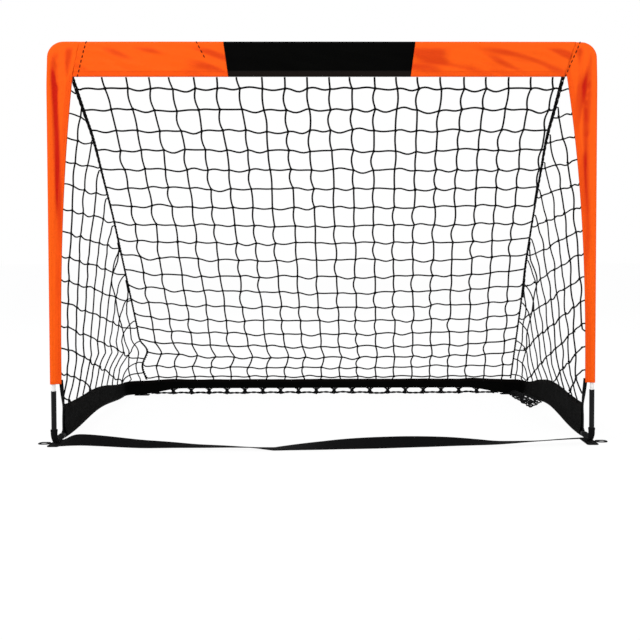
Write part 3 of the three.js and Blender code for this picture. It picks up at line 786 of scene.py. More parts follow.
# %% String tree
def string_tree(name, material):
    tree = node_tree(name, "GeometryNodeTree",
                     [("Lines", GEOMETRY), ("String Radius", FLOAT), ("Knot Radius", FLOAT),
                      ("Knot Seed", "NodeSocketInt")], [("Strings", GEOMETRY)])
    link = tree.links.new

    def add(kind, **settings):
        node = tree.nodes.new(kind)
        for key, value in settings.items():
            setattr(node, key, value)
        return node

    def store(geometry, attribute, value):
        node = add("GeometryNodeStoreNamedAttribute", data_type="FLOAT", domain="POINT")
        node.inputs["Name"].default_value = attribute
        link(geometry, node.inputs["Geometry"])
        link(value, node.inputs["Value"])
        return node.outputs[0]

    gin, gout = add("NodeGroupInput"), add("NodeGroupOutput")
    curves = add("GeometryNodeMeshToCurve")
    link(gin.outputs["Lines"], curves.inputs["Mesh"])
    measure = add("GeometryNodeSplineParameter")
    lines = store(curves.outputs[0], "along", measure.outputs["Length"])
    section = add("GeometryNodeCurvePrimitiveCircle")
    section.inputs["Resolution"].default_value = 6
    link(gin.outputs["String Radius"], section.inputs["Radius"])
    around = add("GeometryNodeSplineParameter")
    profile = store(section.outputs[0], "round", around.outputs["Factor"])
    strings = add("GeometryNodeCurveToMesh")
    link(lines, strings.inputs["Curve"])
    link(profile, strings.inputs["Profile Curve"])
    strings.inputs["Fill Caps"].default_value = True

    is_knot = add("GeometryNodeInputNamedAttribute", data_type="FLOAT")
    is_knot.inputs["Name"].default_value = "knot"
    chosen = add("FunctionNodeCompare", data_type="FLOAT", operation="GREATER_THAN")
    chosen.inputs["B"].default_value = 0.5
    link(is_knot.outputs["Attribute"], chosen.inputs["A"])
    ball = add("GeometryNodeMeshIcoSphere")
    ball.inputs["Subdivisions"].default_value = 2
    link(gin.outputs["Knot Radius"], ball.inputs["Radius"])
    turn = add("FunctionNodeRandomValue", data_type="FLOAT_VECTOR")
    turn.inputs["Max"].default_value = (6.28, 6.28, 6.28)
    stretch = add("FunctionNodeRandomValue", data_type="FLOAT_VECTOR")
    stretch.inputs["Min"].default_value = (0.85, 0.7, 0.8)
    stretch.inputs["Max"].default_value = (1.25, 1.0, 1.15)
    for chance in (turn, stretch):
        link(gin.outputs["Knot Seed"], chance.inputs["Seed"])
    knots = add("GeometryNodeInstanceOnPoints")
    link(gin.outputs["Lines"], knots.inputs["Points"])
    link(chosen.outputs[0], knots.inputs["Selection"])
    link(ball.outputs["Mesh"], knots.inputs["Instance"])
    link(turn.outputs[0], knots.inputs["Rotation"])
    link(stretch.outputs[0], knots.inputs["Scale"])

    both = add("GeometryNodeJoinGeometry")
    link(knots.outputs[0], both.inputs[0])
    link(strings.outputs[0], both.inputs[0])
    real, dressed = add("GeometryNodeRealizeInstances"), add("GeometryNodeSetMaterial")
    smooth_shade = add("GeometryNodeSetShadeSmooth")
    dressed.inputs["Material"].default_value = material
    link(both.outputs[0], real.inputs[0])
    link(real.outputs[0], smooth_shade.inputs[0])
    link(smooth_shade.outputs[0], dressed.inputs["Geometry"])
    link(dressed.outputs[0], gout.inputs[0])
    return tree


def grow(name, tree, lines, knots=(), **sizes):
    """Runs a string or stitch tree on lines of points, and keeps its result as plain mesh."""
    places, edges = [], []
    for line in lines:
        first = len(places)
        places += [tuple(p) for p in line]
        edges += [(first + k, first + k + 1) for k in range(len(line) - 1)]
    first = len(places)
    places += [tuple(p) for p in knots]
    mesh = bpy.data.meshes.new(name)
    mesh.from_pydata(places, edges, [])
    mesh.attributes.new("knot", "FLOAT", "POINT").data.foreach_set(
        "value", [0.0] * first + [1.0] * len(knots))
    piece = new_object(name, mesh)
    modifier = piece.modifiers.new("grow", "NODES")
    modifier.node_group = tree
    for item in tree.interface.items_tree:
        if item.in_out == "INPUT" and item.name.replace(" ", "_") in sizes:
            modifier[item.identifier] = sizes[item.name.replace(" ", "_")]
    return plain(piece)


net_tree = string_tree("net_strings", net_string)
STRING_RADIUS = 2.15 * MM
KNOT_RADIUS = 3.7 * MM

# %% [markdown]
# Two cords run down the slanting corners, where the back net and the side nets are laced
# together. Each is three strands wound round each other along one smooth line.

# %% Corner cords
CORD_INSET = {
    "left": [(0, 49), (0.16, 64), (0.4, 69), (0.7, 68), (0.83, 67), (0.875, 81), (0.94, 57),
             (1, 60)],
    "right": [(0, 69), (0.16, 77), (0.37, 71), (0.54, 65), (0.7, 54), (0.9, 43), (1, 38)]}
CORD_SHARES = [0, 0.08, 0.16, 0.27, 0.4, 0.54, 0.62, 0.7, 0.77, 0.83, 0.875, 0.94, 1]
CORD_RADIUS = 2.2 * MM
cord_ends = {}
for side in SIDES:
    low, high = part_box(f"corner_cord_{side}")
    cord_ends[side] = [(low[1] + CORD_RADIUS, high[2]), (high[1] - CORD_RADIUS, low[2] + CORD_RADIUS)]


def cord_point(side, t):
    (y0, z0), (y1, z1) = cord_ends[side]
    return Vector((SIDES[side] * (HALF - MM * look_up(CORD_INSET[side], t)),
                   mix(y0, y1, t), mix(z0, z1, t)))


def wound(line, strands, radius, pitch, phase=0.0, step=3 * MM):
    """Strands wound round a line, as lists of points."""
    path = Path(line)
    count = round(path.length / step)
    lines = []
    for strand in range(strands):
        points = []
        for k in range(count + 1):
            s = path.length * k / count
            tangent = path.tangent(s)
            across = tangent.cross(RIGHT if abs(tangent.x) < 0.8 else UP).normalized()
            angle = 2 * math.pi * (s / pitch + strand / strands) + phase
            points.append(path.at(s) + radius * (across * math.cos(angle)
                                                 + across.cross(tangent) * math.sin(angle)))
        lines.append(points)
    return lines


cord_lines = {side: rounded([cord_point(side, t) for t in CORD_SHARES], 6 * MM) for side in SIDES}
cord_paths = {side: Path(line) for side, line in cord_lines.items()}
GATHERED_ABOVE = {"left": 0.42, "right": 0.30}
KINK_BELOW = 0.15
cord_pieces = {}
for side in SIDES:
    lines = wound(cord_lines[side], 3, 1.45 * MM, 26 * MM)
    upper = [p for p in cord_lines[side] if p.z > GATHERED_ABOVE[side]]
    beside = [p + RIGHT * SIDES[side] * MM * (2.6 + 2.0 * math.sin(9 * p.z)) for p in upper]
    lines += wound(beside, 2, 1.0 * MM, 30 * MM, phase=1.0)
    if side == "left":
        kinked = [p + RIGHT * 1.5 * MM for p in cord_lines[side] if p.z < KINK_BELOW]
        lines += wound(kinked, 2, 1.9 * MM, 18 * MM, phase=2.0)
    cord = grow(f"net_cord_{side}", net_tree, lines,
                String_Radius=1.3 * MM, Knot_Radius=KNOT_RADIUS, Knot_Seed=1)
    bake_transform(cord)
    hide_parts(f"corner_cord_{side}")
    cord_pieces[side] = cord
    print(f"{cord.name}: {cord_paths[side].length:.3f} m, {len(cord.data.polygons)} faces")

# %% [markdown]
# The back net. Its columns start 50 mm apart under the crossbar and fan out a little towards the
# ground. Its rows hang lower in the middle, and each string dips between its knots. One smooth
# noise shifts both kinds of string alike, so that a crossing stays a crossing.

# %% Back net
COLUMNS, ROWS = 22, 19
TOP_COLUMNS, TOP_OFFSET = 21.6, 0.30
LOW_COLUMNS, LOW_OFFSET = 20.2, -0.28
ROW_COUNT, ROW_OFFSET = 18.8, 0.55
BACK_SAG = 27 * MM
ROW_DIP = 4.2 * MM
COLUMN_SWAY = 2.2 * MM
STEP = 7 * MM

net_surfaces = {name: surface_of(f"net_{name}") for name in ("back", "left", "right")}
NET_HALF = 1 * MM
strip_surface = surface_of("base_strip_left", "base_strip_rear", "base_strip_right")
TIE_REACH = 26 * MM


def tied_down(line):
    """Carries a string's last point on to the ground strip, if the strip is close below."""
    foot = strip_surface.find_nearest(line[-1] - UP * 6 * MM)[0]
    if (foot - line[-1]).length < TIE_REACH and foot.z < line[-1].z:
        line.append(foot - UP * 3 * MM)
    return line


def on_back(x, z):
    """The point of the back net's surface that one sees at x and z."""
    hit = net_surfaces["back"].ray_cast(Vector((x, -2, z)), BACK)[0]
    return hit + BACK * NET_HALF if hit else None


def uneven(p):
    """A small, smooth shift of the net's knots."""
    return Vector((noise.noise(p * 11), 0, noise.noise(p * 11 + Vector((40, 0, 0))))) * 4.5 * MM


def cell_chance(a, b):
    """A fixed chance value for one mesh of the net, from 0 to 1."""
    return noise.cell(Vector((a * 1.37 + 0.5, b * 2.11 + 0.5, 0.5)))


def column_scale(t):
    """The width of one column and the place of the first, as shares of the net's width."""
    return (mix(1 / TOP_COLUMNS, 1 / LOW_COLUMNS, t),
            mix(TOP_OFFSET / TOP_COLUMNS, LOW_OFFSET / LOW_COLUMNS, t))


def column_number(u, t):
    scale, first = column_scale(t)
    return (u - first) / scale


def column_place(i, t):
    scale, first = column_scale(t)
    return i * scale + first


def row_share(j):
    return (j + ROW_OFFSET) / ROW_COUNT


def back_place(u, t, dip=0.0, sway=0.0):
    """A point of the back net: u across from cord to cord, t down from the crossbar."""
    flat = cord_point("left", t).lerp(cord_point("right", t), u)
    inside = math.sqrt(max(0, 4 * u * (1 - u)))
    flat.z -= BACK_SAG * math.sin(math.pi * t ** 2.2) * inside + dip
    flat.x += sway
    edge = min(1, 12 * u, 12 * (1 - u), 10 * t + 0.2, 10 * (1 - t))
    flat += uneven(flat) * max(0, edge)
    hit = on_back(flat.x, flat.z)
    if hit:
        return hit
    near = net_surfaces["back"].find_nearest(flat)[0]
    return near if (near - flat).length < 12 * MM else flat


def back_row(j):
    t = row_share(j)
    width = (cord_point("right", t) - cord_point("left", t)).length
    steps = round(width / STEP)
    points = [cord_point("left", t)]
    for k in range(1, steps):
        u = k / steps
        number = column_number(u, t)
        fullness = 0.45 + 1.1 * cell_chance(math.floor(number), j)
        dip = ROW_DIP * fullness * math.sin(math.pi * (number % 1)) ** 1.4
        side_chance = cell_chance(j, math.floor(number)) - 0.3
        lean = 1.6 * MM * math.sin(2 * math.pi * (number % 1)) * side_chance
        points.append(back_place(u, t, dip + lean))
    return [*points, cord_point("right", t)]


def back_column(i):
    points, steps = [], 130
    for k in range(steps + 1):
        t = k / steps
        u = column_place(i, t)
        if not 0 < u < 1:
            continue
        number = t * ROW_COUNT - ROW_OFFSET
        chance = cell_chance(i + 50, math.floor(number)) - 0.5
        bend = COLUMN_SWAY * math.sin(math.pi * (number % 1)) * chance * 2
        points.append(back_place(u, t, 0, bend))
    return tied_down(points) if 0 < column_place(i, 1) < 1 else points


back_lines = [back_row(j) for j in range(ROWS)] + [back_column(i) for i in range(1, COLUMNS)]
back_knots = [back_place(column_place(i, row_share(j)), row_share(j))
              for i in range(1, COLUMNS) for j in range(ROWS)
              if 0.004 < column_place(i, row_share(j)) < 0.996]
net_back = grow("string_net_back", net_tree, back_lines, back_knots,
                String_Radius=STRING_RADIUS, Knot_Radius=KNOT_RADIUS, Knot_Seed=3)
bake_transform(net_back)
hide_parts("net_back")
print(f"back net: {len(back_lines)} strings, {len(back_knots)} knots,",
      len(net_back.data.polygons), "faces")

# %% [markdown]
# The side nets are triangles between post, corner cord and ground strip. Their rows leave the
# post level at the top and droop more and more towards the ground. Each string is followed from
# its start until it meets the cord or runs off the net's surface.

# %% Side nets
SIDE_ROWS, SIDE_TOP, SIDE_PITCH = 14, 0.79, 52 * MM
SIDE_COLUMNS = 11
DROOP_TOP = 0.66
MESH = 50 * MM
CORD_SNAP = 24 * MM  # how near a string must come to the cord to be tied to it
SIDE_THINNER = 0.84
CORNER_Y_NET = REAR - 0.12
SIDE_SHAPE = {"left": {"droop": 0.39, "power": 1.1, "lean": 0.0, "zigzag": 0.0},
              "right": {"droop": 0.57, "power": 1.0, "lean": 62 * MM, "zigzag": 5 * MM}}
CORNER_REACH = 80 * MM
SIDE_DIP = 4.0 * MM


def side_row_height(side, i, depth):
    start = SIDE_TOP - SIDE_PITCH * i
    shape = SIDE_SHAPE[side]
    droop = shape["droop"] * max(0, DROOP_TOP - start) * max(0, depth / 0.56) ** shape["power"]
    return start - droop


def side_column_depth(side, k, z):
    return MESH * k - SIDE_SHAPE[side]["lean"] * (1 - z / SIDE_TOP)


def cord_height(side, depth):
    (y0, z0), (y1, z1) = cord_ends[side]
    return mix(z0, z1, (FRONT + depth - y0) / (y1 - y0))


def on_side(side, depth, z):
    """The side net's surface at a depth behind the front plane and a height, or nothing."""
    y = FRONT + depth
    shift = uneven(Vector((0.3 * SIDES[side], y, z)))
    fade = min(1, max(0, 20 * depth), max(0, 16 * (cord_height(side, depth) - z)))
    start = Vector((SIDES[side] * 2, y + shift.x * fade, z + shift.z * fade))
    hit = net_surfaces[side].ray_cast(start, RIGHT * -SIDES[side])[0]
    return hit - RIGHT * SIDES[side] * NET_HALF if hit else None


def laid_round(side, start, end):
    """A string's points from start to end, laid on the side net where it turns the rear corner."""
    steps = max(2, round((end - start).length / (6 * MM)))
    between = [start.lerp(end, k / steps) for k in range(1, steps)]
    near = [(net_surfaces[side].find_nearest(p)[0], p) for p in between]
    return [surface if (surface - p).length < 16 * MM else p for surface, p in near]


def sleeve_start(side, z):
    """Where a string leaves the post's sleeve."""
    return Vector((SIDES[side] * (HALF - cloth_width(side, z) + 1 * MM), FRONT + 1.5 * MM, z))


def side_row(side, i):
    points = []
    edge_height = side_row_height(side, i, 0)
    if SLEEVE_HEM < edge_height < SLEEVE_EDGE:
        points.append(sleeve_start(side, edge_height))
    for k in range(140):
        depth = 2.4 * MM + k * 5 * MM
        number = (depth + SIDE_SHAPE[side]["lean"] * 0.5) / MESH
        fullness = 0.4 + 1.1 * cell_chance(math.floor(number) + 7, i + 30 * SIDES[side])
        dip = SIDE_DIP * fullness * math.sin(math.pi * (number % 1)) ** 1.4
        z = side_row_height(side, i, depth) - dip
        hit = on_side(side, depth, z) if z < cord_height(side, depth) - 2 * MM else None
        if hit is None and points:
            end = min(cord_lines[side], key=lambda p: (p - points[-1]).length)
            if (end - points[-1]).length < CORNER_REACH and points[-1].y > CORNER_Y_NET:
                points += [*laid_round(side, points[-1], end), end]
            elif (end - points[-1]).length < CORD_SNAP:
                points.append(end)
            else:
                tied_down(points)
            break
        if hit is not None:
            points.append(hit)
    return points


def side_column(side, k):
    points = []
    z = SLEEVE_EDGE
    while z > 0.03:
        z -= 5 * MM
        depth = side_column_depth(side, k, z)
        number = (SIDE_TOP - z) / SIDE_PITCH
        bulge = math.sin(math.pi * (number % 1))
        sway = bulge * (4.0 * MM * (cell_chance(k + 90, math.floor(number)) - 0.5)
                        + SIDE_SHAPE[side]["zigzag"] * (-1) ** (math.floor(number) + k))
        hit = on_side(side, depth + sway, z) if z < cord_height(side, depth) - 1 * MM else None
        if hit is None and points:
            if points[-1].y < FRONT + 20 * MM and z > SLEEVE_HEM:
                points.append(sleeve_start(side, z))
            else:
                tied_down(points)
            break
        if hit is not None:
            if not points:
                end = min(cord_lines[side], key=lambda p: (p - hit).length)
                if (end - hit).length < CORD_SNAP:
                    points.append(end)
            points.append(hit)
    return points


def side_knot(side, i, k):
    z = side_row_height(side, i, MESH * k)
    for _ in range(6):
        depth = side_column_depth(side, k, z)
        z = side_row_height(side, i, depth)
    if z > cord_height(side, depth) - 6 * MM:
        return None
    return on_side(side, depth, z)


def cord_neighbour(side, share, top):
    """A gathered string beside the corner cord, zigzagging down to the ground strip."""
    points = []
    for beside in cord_lines[side]:
        if beside.z < top:
            outer = Vector((SIDES[side] * (HALF - 5 * MM), beside.y - 38 * MM, beside.z))
            swing = math.sin(math.pi * beside.z / SIDE_PITCH + 2.1 * share)
            sway = 5 * MM * swing * min(1, 9 * (top - beside.z))
            guess = beside.lerp(outer, share * smooth(top - beside.z, 0, 0.12)) + BACK * sway
            shift = net_surfaces[side].find_nearest(guess)[0] - guess
            points.append(guess + shift * min(1, 6 * MM / max(shift.length, 1e-6)))
    return tied_down(points)


NEIGHBOURS = ((0.3, 0.36), (0.65, 0.46))
for side in SIDES:
    lines = [side_row(side, i) for i in range(SIDE_ROWS)]
    lines += [side_column(side, k) for k in range(1, SIDE_COLUMNS + 2)]
    lines += [cord_neighbour(side, *place) for place in NEIGHBOURS]
    lines = [line for line in lines if len(line) > 2]
    knots = [side_knot(side, i, k) for i in range(SIDE_ROWS) for k in range(1, SIDE_COLUMNS + 2)]
    knots = [knot for knot in knots if knot is not None]
    piece = grow(f"string_net_{side}", net_tree, lines, knots,
                 String_Radius=STRING_RADIUS * SIDE_THINNER,
                 Knot_Radius=KNOT_RADIUS * SIDE_THINNER, Knot_Seed=5)
    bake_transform(piece)
    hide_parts(f"net_{side}")
    print(f"{side} net: {len(lines)} strings, {len(knots)} knots, {len(piece.data.polygons)} faces")

# %% [markdown]
# Black cloth strips are sewn round the ground poles and stand up from them as a low wall. The
# poles bow up a little between the corners, and the strips follow, so the strip is a loft along
# the bowed pole: one loop of cloth round the pole, closing to two layers that end in a hem.

# %% The ground poles' line
FOOT_BEND, FOOT_LEG, REAR_BEND = 15 * MM, 66 * MM, 36 * MM
SIDE_LIFT = {"left": 14 * MM, "right": 20 * MM}
REAR_LIFT, REAR_RISE = 18 * MM, 0.12
STRIP_SETBACK, STRIP_WRAP = 62 * MM, 54 * MM
STRIP_TOP = {"left": (70, 50, 33), "right": (69, 58, 34), "rear": 19}
foot_low, foot_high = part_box("foot_elbow_left")
STEEL_R = (foot_high[0] - foot_low[0]) / 2
GROUND_AXIS = foot_low[2] + STEEL_R
FOOT_END = FRONT + FOOT_BEND + FOOT_LEG
CORNER_Y = REAR - REAR_BEND


def side_pole(side):
    return [Vector((SIDES[side] * HALF, mix(FOOT_END, CORNER_Y, t),
                    GROUND_AXIS + SIDE_LIFT[side] * math.sin(math.pi * t) ** 2))
            for t in np.linspace(0, 1, 100)]


def rear_bend(side):
    centre = Vector((SIDES[side] * (HALF - REAR_BEND), CORNER_Y, GROUND_AXIS))
    return [centre + Vector((SIDES[side] * math.cos(a), math.sin(a), 0)) * REAR_BEND
            for a in np.linspace(0, math.pi / 2, 14)]


rear_pole = [Vector((mix(-HALF + REAR_BEND, HALF - REAR_BEND, t), REAR,
                     GROUND_AXIS + REAR_LIFT * smooth(0.5 - abs(t - 0.5), 0, REAR_RISE)))
             for t in np.linspace(0, 1, 220)]
foot_start = {side: Vector((SIDES[side] * HALF, FRONT + FOOT_BEND, GROUND_AXIS)) for side in SIDES}
ground_line = Path([foot_start["left"], *side_pole("left"), *rear_bend("left")[1:], *rear_pole[1:],
                    *rear_bend("right")[::-1][1:], *side_pole("right")[::-1][1:], foot_start["right"]])
SIDE_LENGTH = FOOT_LEG + Path(side_pole("left")).length
BEND_LENGTH = Path(rear_bend("left")).length
REAR_START = SIDE_LENGTH + BEND_LENGTH
REAR_END = ground_line.length - FOOT_LEG - Path(side_pole("right")).length - BEND_LENGTH
print(f"ground poles' line: {ground_line.length:.3f} m")


def quadratic(three, t):
    a, b, c = three
    return a + (4 * b - 3 * a - c) * t + (2 * a + 2 * c - 4 * b) * t * t


def strip_top(s):
    """Height of a strip's upper edge above the pole's axis, in metres."""
    start = STRIP_SETBACK - FOOT_BEND
    if s < REAR_START:
        return MM * quadratic(STRIP_TOP["left"], min(1, max(0, (s - start) / (SIDE_LENGTH - start))))
    if s > REAR_END:
        from_end = ground_line.length - s
        run = ground_line.length - REAR_END - BEND_LENGTH
        return MM * quadratic(STRIP_TOP["right"], min(1, max(0, (from_end - start) / (run - start))))
    side = "left" if s < (REAR_START + REAR_END) / 2 else "right"
    along_rear = smooth(min(s - REAR_START, REAR_END - s), 0, 3 * STRIP_WRAP)
    return MM * mix(STRIP_TOP[side][2], STRIP_TOP["rear"], along_rear)


# %% Strips
STRIP_GAP = 1.2 * MM
STRIP_R = SLEEVE_R


def strip(name, start, end):
    rows, hems, fold_shades = [], [], []
    count = round((end - start) / (4 * MM))
    for k in range(count + 1):
        s = mix(start, end, k / count)
        axis, tangent = ground_line.at(s), ground_line.tangent(s, 6 * MM)
        across = UP.cross(tangent).normalized()
        up = tangent.cross(across)
        top = strip_top(s) + 1.2 * MM * noise.noise(Vector((s * 22, 4.0, 0)))
        wave = 2.4 * MM * noise.noise(Vector((s * 13, 1.5, 0)))
        levels = np.linspace(1, 0, 11)
        layers = []
        for face in (1, -1):
            side = []
            for share in levels:
                height = max(share * top, 0)
                hug = max(0, 1 - height / (3.2 * STRIP_R)) ** 1.5
                gap_here = STRIP_GAP + (STRIP_R - STRIP_GAP) * hug
                loose = smooth(height, STRIP_R, 0.6 * top) if top > 2 * STRIP_R else 0
                pucker = 1.1 * MM * noise.noise(Vector((s * 45, share * 2.4, 6.0 + face))) * loose
                in_hem = 0.25 * (1 - smooth(top - height, 7 * MM, 8 * MM))
                out = wave * loose * share + face * (gap_here + max(0, pucker))
                place = axis + up * height + across * out
                # The third value is painted shade, in the hollows between the puckers.
                side.append((place, in_hem, max(0.0, -pucker / MM)))
            layers.append(side)
        turn = [(axis + across * STRIP_R * math.cos(a) - up * STRIP_R * math.sin(a), 0, 0)
                for a in np.linspace(0, math.pi, 10)[1:-1]]
        ring = layers[0] + turn + layers[1][::-1]
        rows.append([tuple(p) for p, _, _ in ring])
        hems.append([h for _, h, _ in ring])
        fold_shades.append([f for _, _, f in ring])
    piece = loft(name, rows, black_cloth, closed=True, masks={"hem": hems, "fold": fold_shades})
    return shell(piece, CLOTH_THICK)


left_seam = REAR_START + STRIP_WRAP - REAR_BEND
right_seam = REAR_END - STRIP_WRAP + REAR_BEND
strip_front = STRIP_SETBACK - FOOT_BEND
strip_runs = {
    "left": (strip_front, left_seam - SEAM_GAP),
    "rear": (left_seam + SEAM_GAP, right_seam - SEAM_GAP),
    "right": (right_seam + SEAM_GAP, ground_line.length - strip_front)}
for place, (start, end) in strip_runs.items():
    piece = strip(f"base_cloth_{place}", start, end)
    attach(piece, "base")
    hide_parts(f"base_strip_{place}")

# %% [markdown]
# The two steel feet and the white rod ends that stand in them are seen close to, so
# they are drawn again with a fine round section, a rolled rim and the same centre lines.


# %% Round tubes
TUBE_SIDES = 32


def ring_points(centre, tangent, radii):
    """A ring of points round a tube that bends in a side plane, one radius for each point."""
    across = RIGHT.cross(tangent).normalized()
    out = across.cross(tangent)
    turns = [2 * math.pi * k / len(radii) for k in range(len(radii))]
    return [tuple(centre + r * (across * math.cos(a) + out * math.sin(a)))
            for r, a in zip(radii, turns)]


def tube_piece(name, path, outline, material):
    """A hollow tube. outline lists (length along the path, radius) out along the wall and back."""
    rows = [ring_points(path.at(s), path.tangent(s, 0.4 * MM), [r] * TUBE_SIDES) for s, r in outline]
    return welded(loft(name, rows + rows[:1], material, closed=True))


ROD_R, ROD_BORE_R = 4.2 * MM, 2.7 * MM
STEEL_BORE = STEEL_R - 0.8 * MM
SOCKET_TOP = foot_high[2]


def foot_line(side):
    x = SIDES[side] * HALF
    arc = [Vector((x, FRONT + FOOT_BEND * (1 - math.cos(a)),
                   GROUND_AXIS + FOOT_BEND * (1 - math.sin(a))))
           for a in np.linspace(0, math.pi / 2, 16)]
    return Path([Vector((x, FRONT, SOCKET_TOP)), *arc, Vector((x, FOOT_END, GROUND_AXIS))])


def walled(length, radius, bore, spacing, rim=0.3 * MM):
    """Out along a tube's wall with eased rims, and back along its bore."""
    count = max(2, round(length / spacing))
    run = [length * k / count for k in range(1, count)]
    return ([(0, radius - rim), (rim, radius)] + [(s, radius) for s in run]
            + [(length - rim, radius), (length, radius - rim), (length, bore)]
            + [(s, bore) for s in reversed(run)] + [(0, bore)])


foot_lines = {side: foot_line(side) for side in SIDES}
for side in SIDES:
    line = foot_lines[side]
    outline = walled(line.length, STEEL_R, STEEL_BORE, 2.5 * MM)
    foot = tube_piece(f"foot_tube_{side}", line, outline, black_steel)
    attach(foot, "base")
    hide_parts(f"foot_elbow_{side}")
    low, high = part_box(f"upright_{side}_lower")
    post = Path([Vector((SIDES[side] * HALF, FRONT, z)) for z in (low[2], high[2])])
    outline = walled(post.length, ROD_R, ROD_BORE_R, 40 * MM)
    rod = tube_piece(f"rod_end_{side}", post, outline, fibreglass)
    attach(rod, "front_frame")
    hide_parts(f"upright_{side}_lower")

# %% [markdown]
# Webbing is a flat woven strap, so every webbing piece is the same ribbon: a thin rounded
# rectangle carried along a path and turned about it. The ground strap across the mouth is one
# long ribbon that turns over as it goes, which hides and shows its broad face.


# %% Ribbons
def ribbon(name, path, width, thickness, facing, step=5 * MM, camber=0.0):
    """facing(s, tangent) is the direction of the ribbon's width at a length along the path."""
    count = max(3, round(path.length / step))
    corner = thickness * 0.45
    half_w, half_t = width / 2, thickness / 2
    outline = []
    for sx, sy in ((1, 1), (-1, 1), (-1, -1), (1, -1)):
        steps = [(half_w, half_t - corner), (half_w - corner, half_t)]
        pair = [(sx * a, sy * b) for a, b in steps]
        outline += pair if sx * sy > 0 else pair[::-1]
    fine = []
    for (a, b), (c, d) in zip(outline, outline[1:] + outline[:1]):
        pieces = 8 if abs(a - c) > width / 3 else 1
        fine += [(mix(a, c, q / pieces), mix(b, d, q / pieces)) for q in range(pieces)]
    rows = []
    for k in range(count + 1):
        s = path.length * k / count
        tangent = path.tangent(s)
        wide = facing(s, tangent)
        wide = (wide - tangent * wide.dot(tangent)).normalized()
        thick = wide.cross(tangent)
        rows.append([tuple(path.at(s) + wide * a + thick * (b + camber * (1 - (a / half_w) ** 2)))
                     for a, b in fine])
    return settle(loft(name, rows, webbing, closed=True, caps=True))


# %% Ground strap
STRAP_WIDTH, STRAP_THICK, STRAP_BOW = 25 * MM, 1.6 * MM, 43 * MM
STRAP_TWIST = [(0, 12), (0.035, 75), (0.08, 95), (0.264, 149), (0.37, 166), (0.6, 250), (0.69, 278),
               (0.73, 292), (0.82, 328), (0.90, 344), (1, 350)]
STRAP_REST = 0.6 * MM
STRAP_RISE = 9 * MM
strap_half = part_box("ground_strap")[1][0]


def strap_twist(t):
    """Degrees from flat, eased between the table's turns so that the strap winds smoothly."""
    spread = (-0.012, -0.006, 0, 0.006, 0.012)
    return math.radians(sum(look_up(STRAP_TWIST, min(1, max(0, t + d))) for d in spread) / len(spread))


def strap_bow(t):
    """How far the strap's middle lies forward of its ends, as a share."""
    arch = math.sin(math.pi * t)
    return smooth(t, 0, 0.18) * mix(0.85, 1, arch) if t < 0.5 else max(0, arch) ** 0.9


def strap_point(t):
    lift = 1.04 * STRAP_WIDTH / 2 * abs(math.sin(strap_twist(t)))
    ripple = 0.8 * MM * (1 + noise.noise(Vector((t * 14, 2, 0)))) * math.sin(math.pi * t)
    return Vector((mix(-strap_half, strap_half, t), FRONT - STRAP_BOW * strap_bow(t),
                   STRAP_REST + STRAP_THICK / 2 + lift + ripple + STRAP_RISE * smooth(t, 0.80, 1)))


strap_path = Path([strap_point(t) for t in np.linspace(0, 1, 400)])


def strap_facing(s, tangent):
    turn = strap_twist((strap_path.at(s).x + strap_half) / (2 * strap_half))
    return BACK * math.cos(turn) + UP * math.sin(turn)


strap = ribbon("ground_webbing", strap_path, STRAP_WIDTH, STRAP_THICK,
               strap_facing, camber=0.4 * MM)
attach(strap, "base")
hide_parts("ground_strap")
print(f"strap: {strap_path.length:.3f} m")

# %% [markdown]
# A narrow band of webbing edges each side net between the post's hem and the ground strip.

# %% Front bands
BAND_WIDTH, BAND_THICK = 9 * MM, 1.8 * MM
for side, sign in SIDES.items():
    low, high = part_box(f"front_band_{side}")
    inner = HALF - POST_CLOTH[side][1]
    strip_high = GROUND_AXIS + MM * STRIP_TOP[side][0]
    front_y = FRONT + STRIP_SETBACK - 5 * MM
    line = [Vector((sign * (inner + 1 * MM), FRONT + 2 * MM, SLEEVE_HEM + 9 * MM)),
            Vector((sign * (inner + 1 * MM), FRONT + 4 * MM, SLEEVE_HEM - 2 * MM)),
            Vector((sign * mix(inner, HALF, 0.45), mix(FRONT, front_y, 0.5),
                    mix(SLEEVE_HEM, strip_high, 0.52))),
            Vector((sign * (HALF - 1 * MM), front_y, strip_high - 2 * MM)),
            Vector((sign * HALF, front_y, mix(strip_high, low[2], 0.5))),
            Vector((sign * HALF, front_y, low[2] + 1 * MM))]
    path = Path(rounded(line, 3 * MM))

    def facing(s, tangent, path=path, sign=sign):
        turn = smooth(s / path.length, 0.05, 0.75) * math.radians(55)
        return RIGHT * sign * math.cos(turn) + BACK * math.sin(turn)

    band = ribbon(f"edge_band_{side}", path, BAND_WIDTH, BAND_THICK, facing, step=2.5 * MM)
    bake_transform(band)
    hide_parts(f"front_band_{side}")
    print(f"{band.name}: {path.length:.3f} m")

# %% [markdown]
# Each foot stands in a webbing pocket: cloth wrapped round the bend of the steel tube and sewn to
# a flat sole. The pocket is a loft along the tube with a slightly wavy wall and a bound top edge,
# and the sole is a rounded plate, stitched all round.


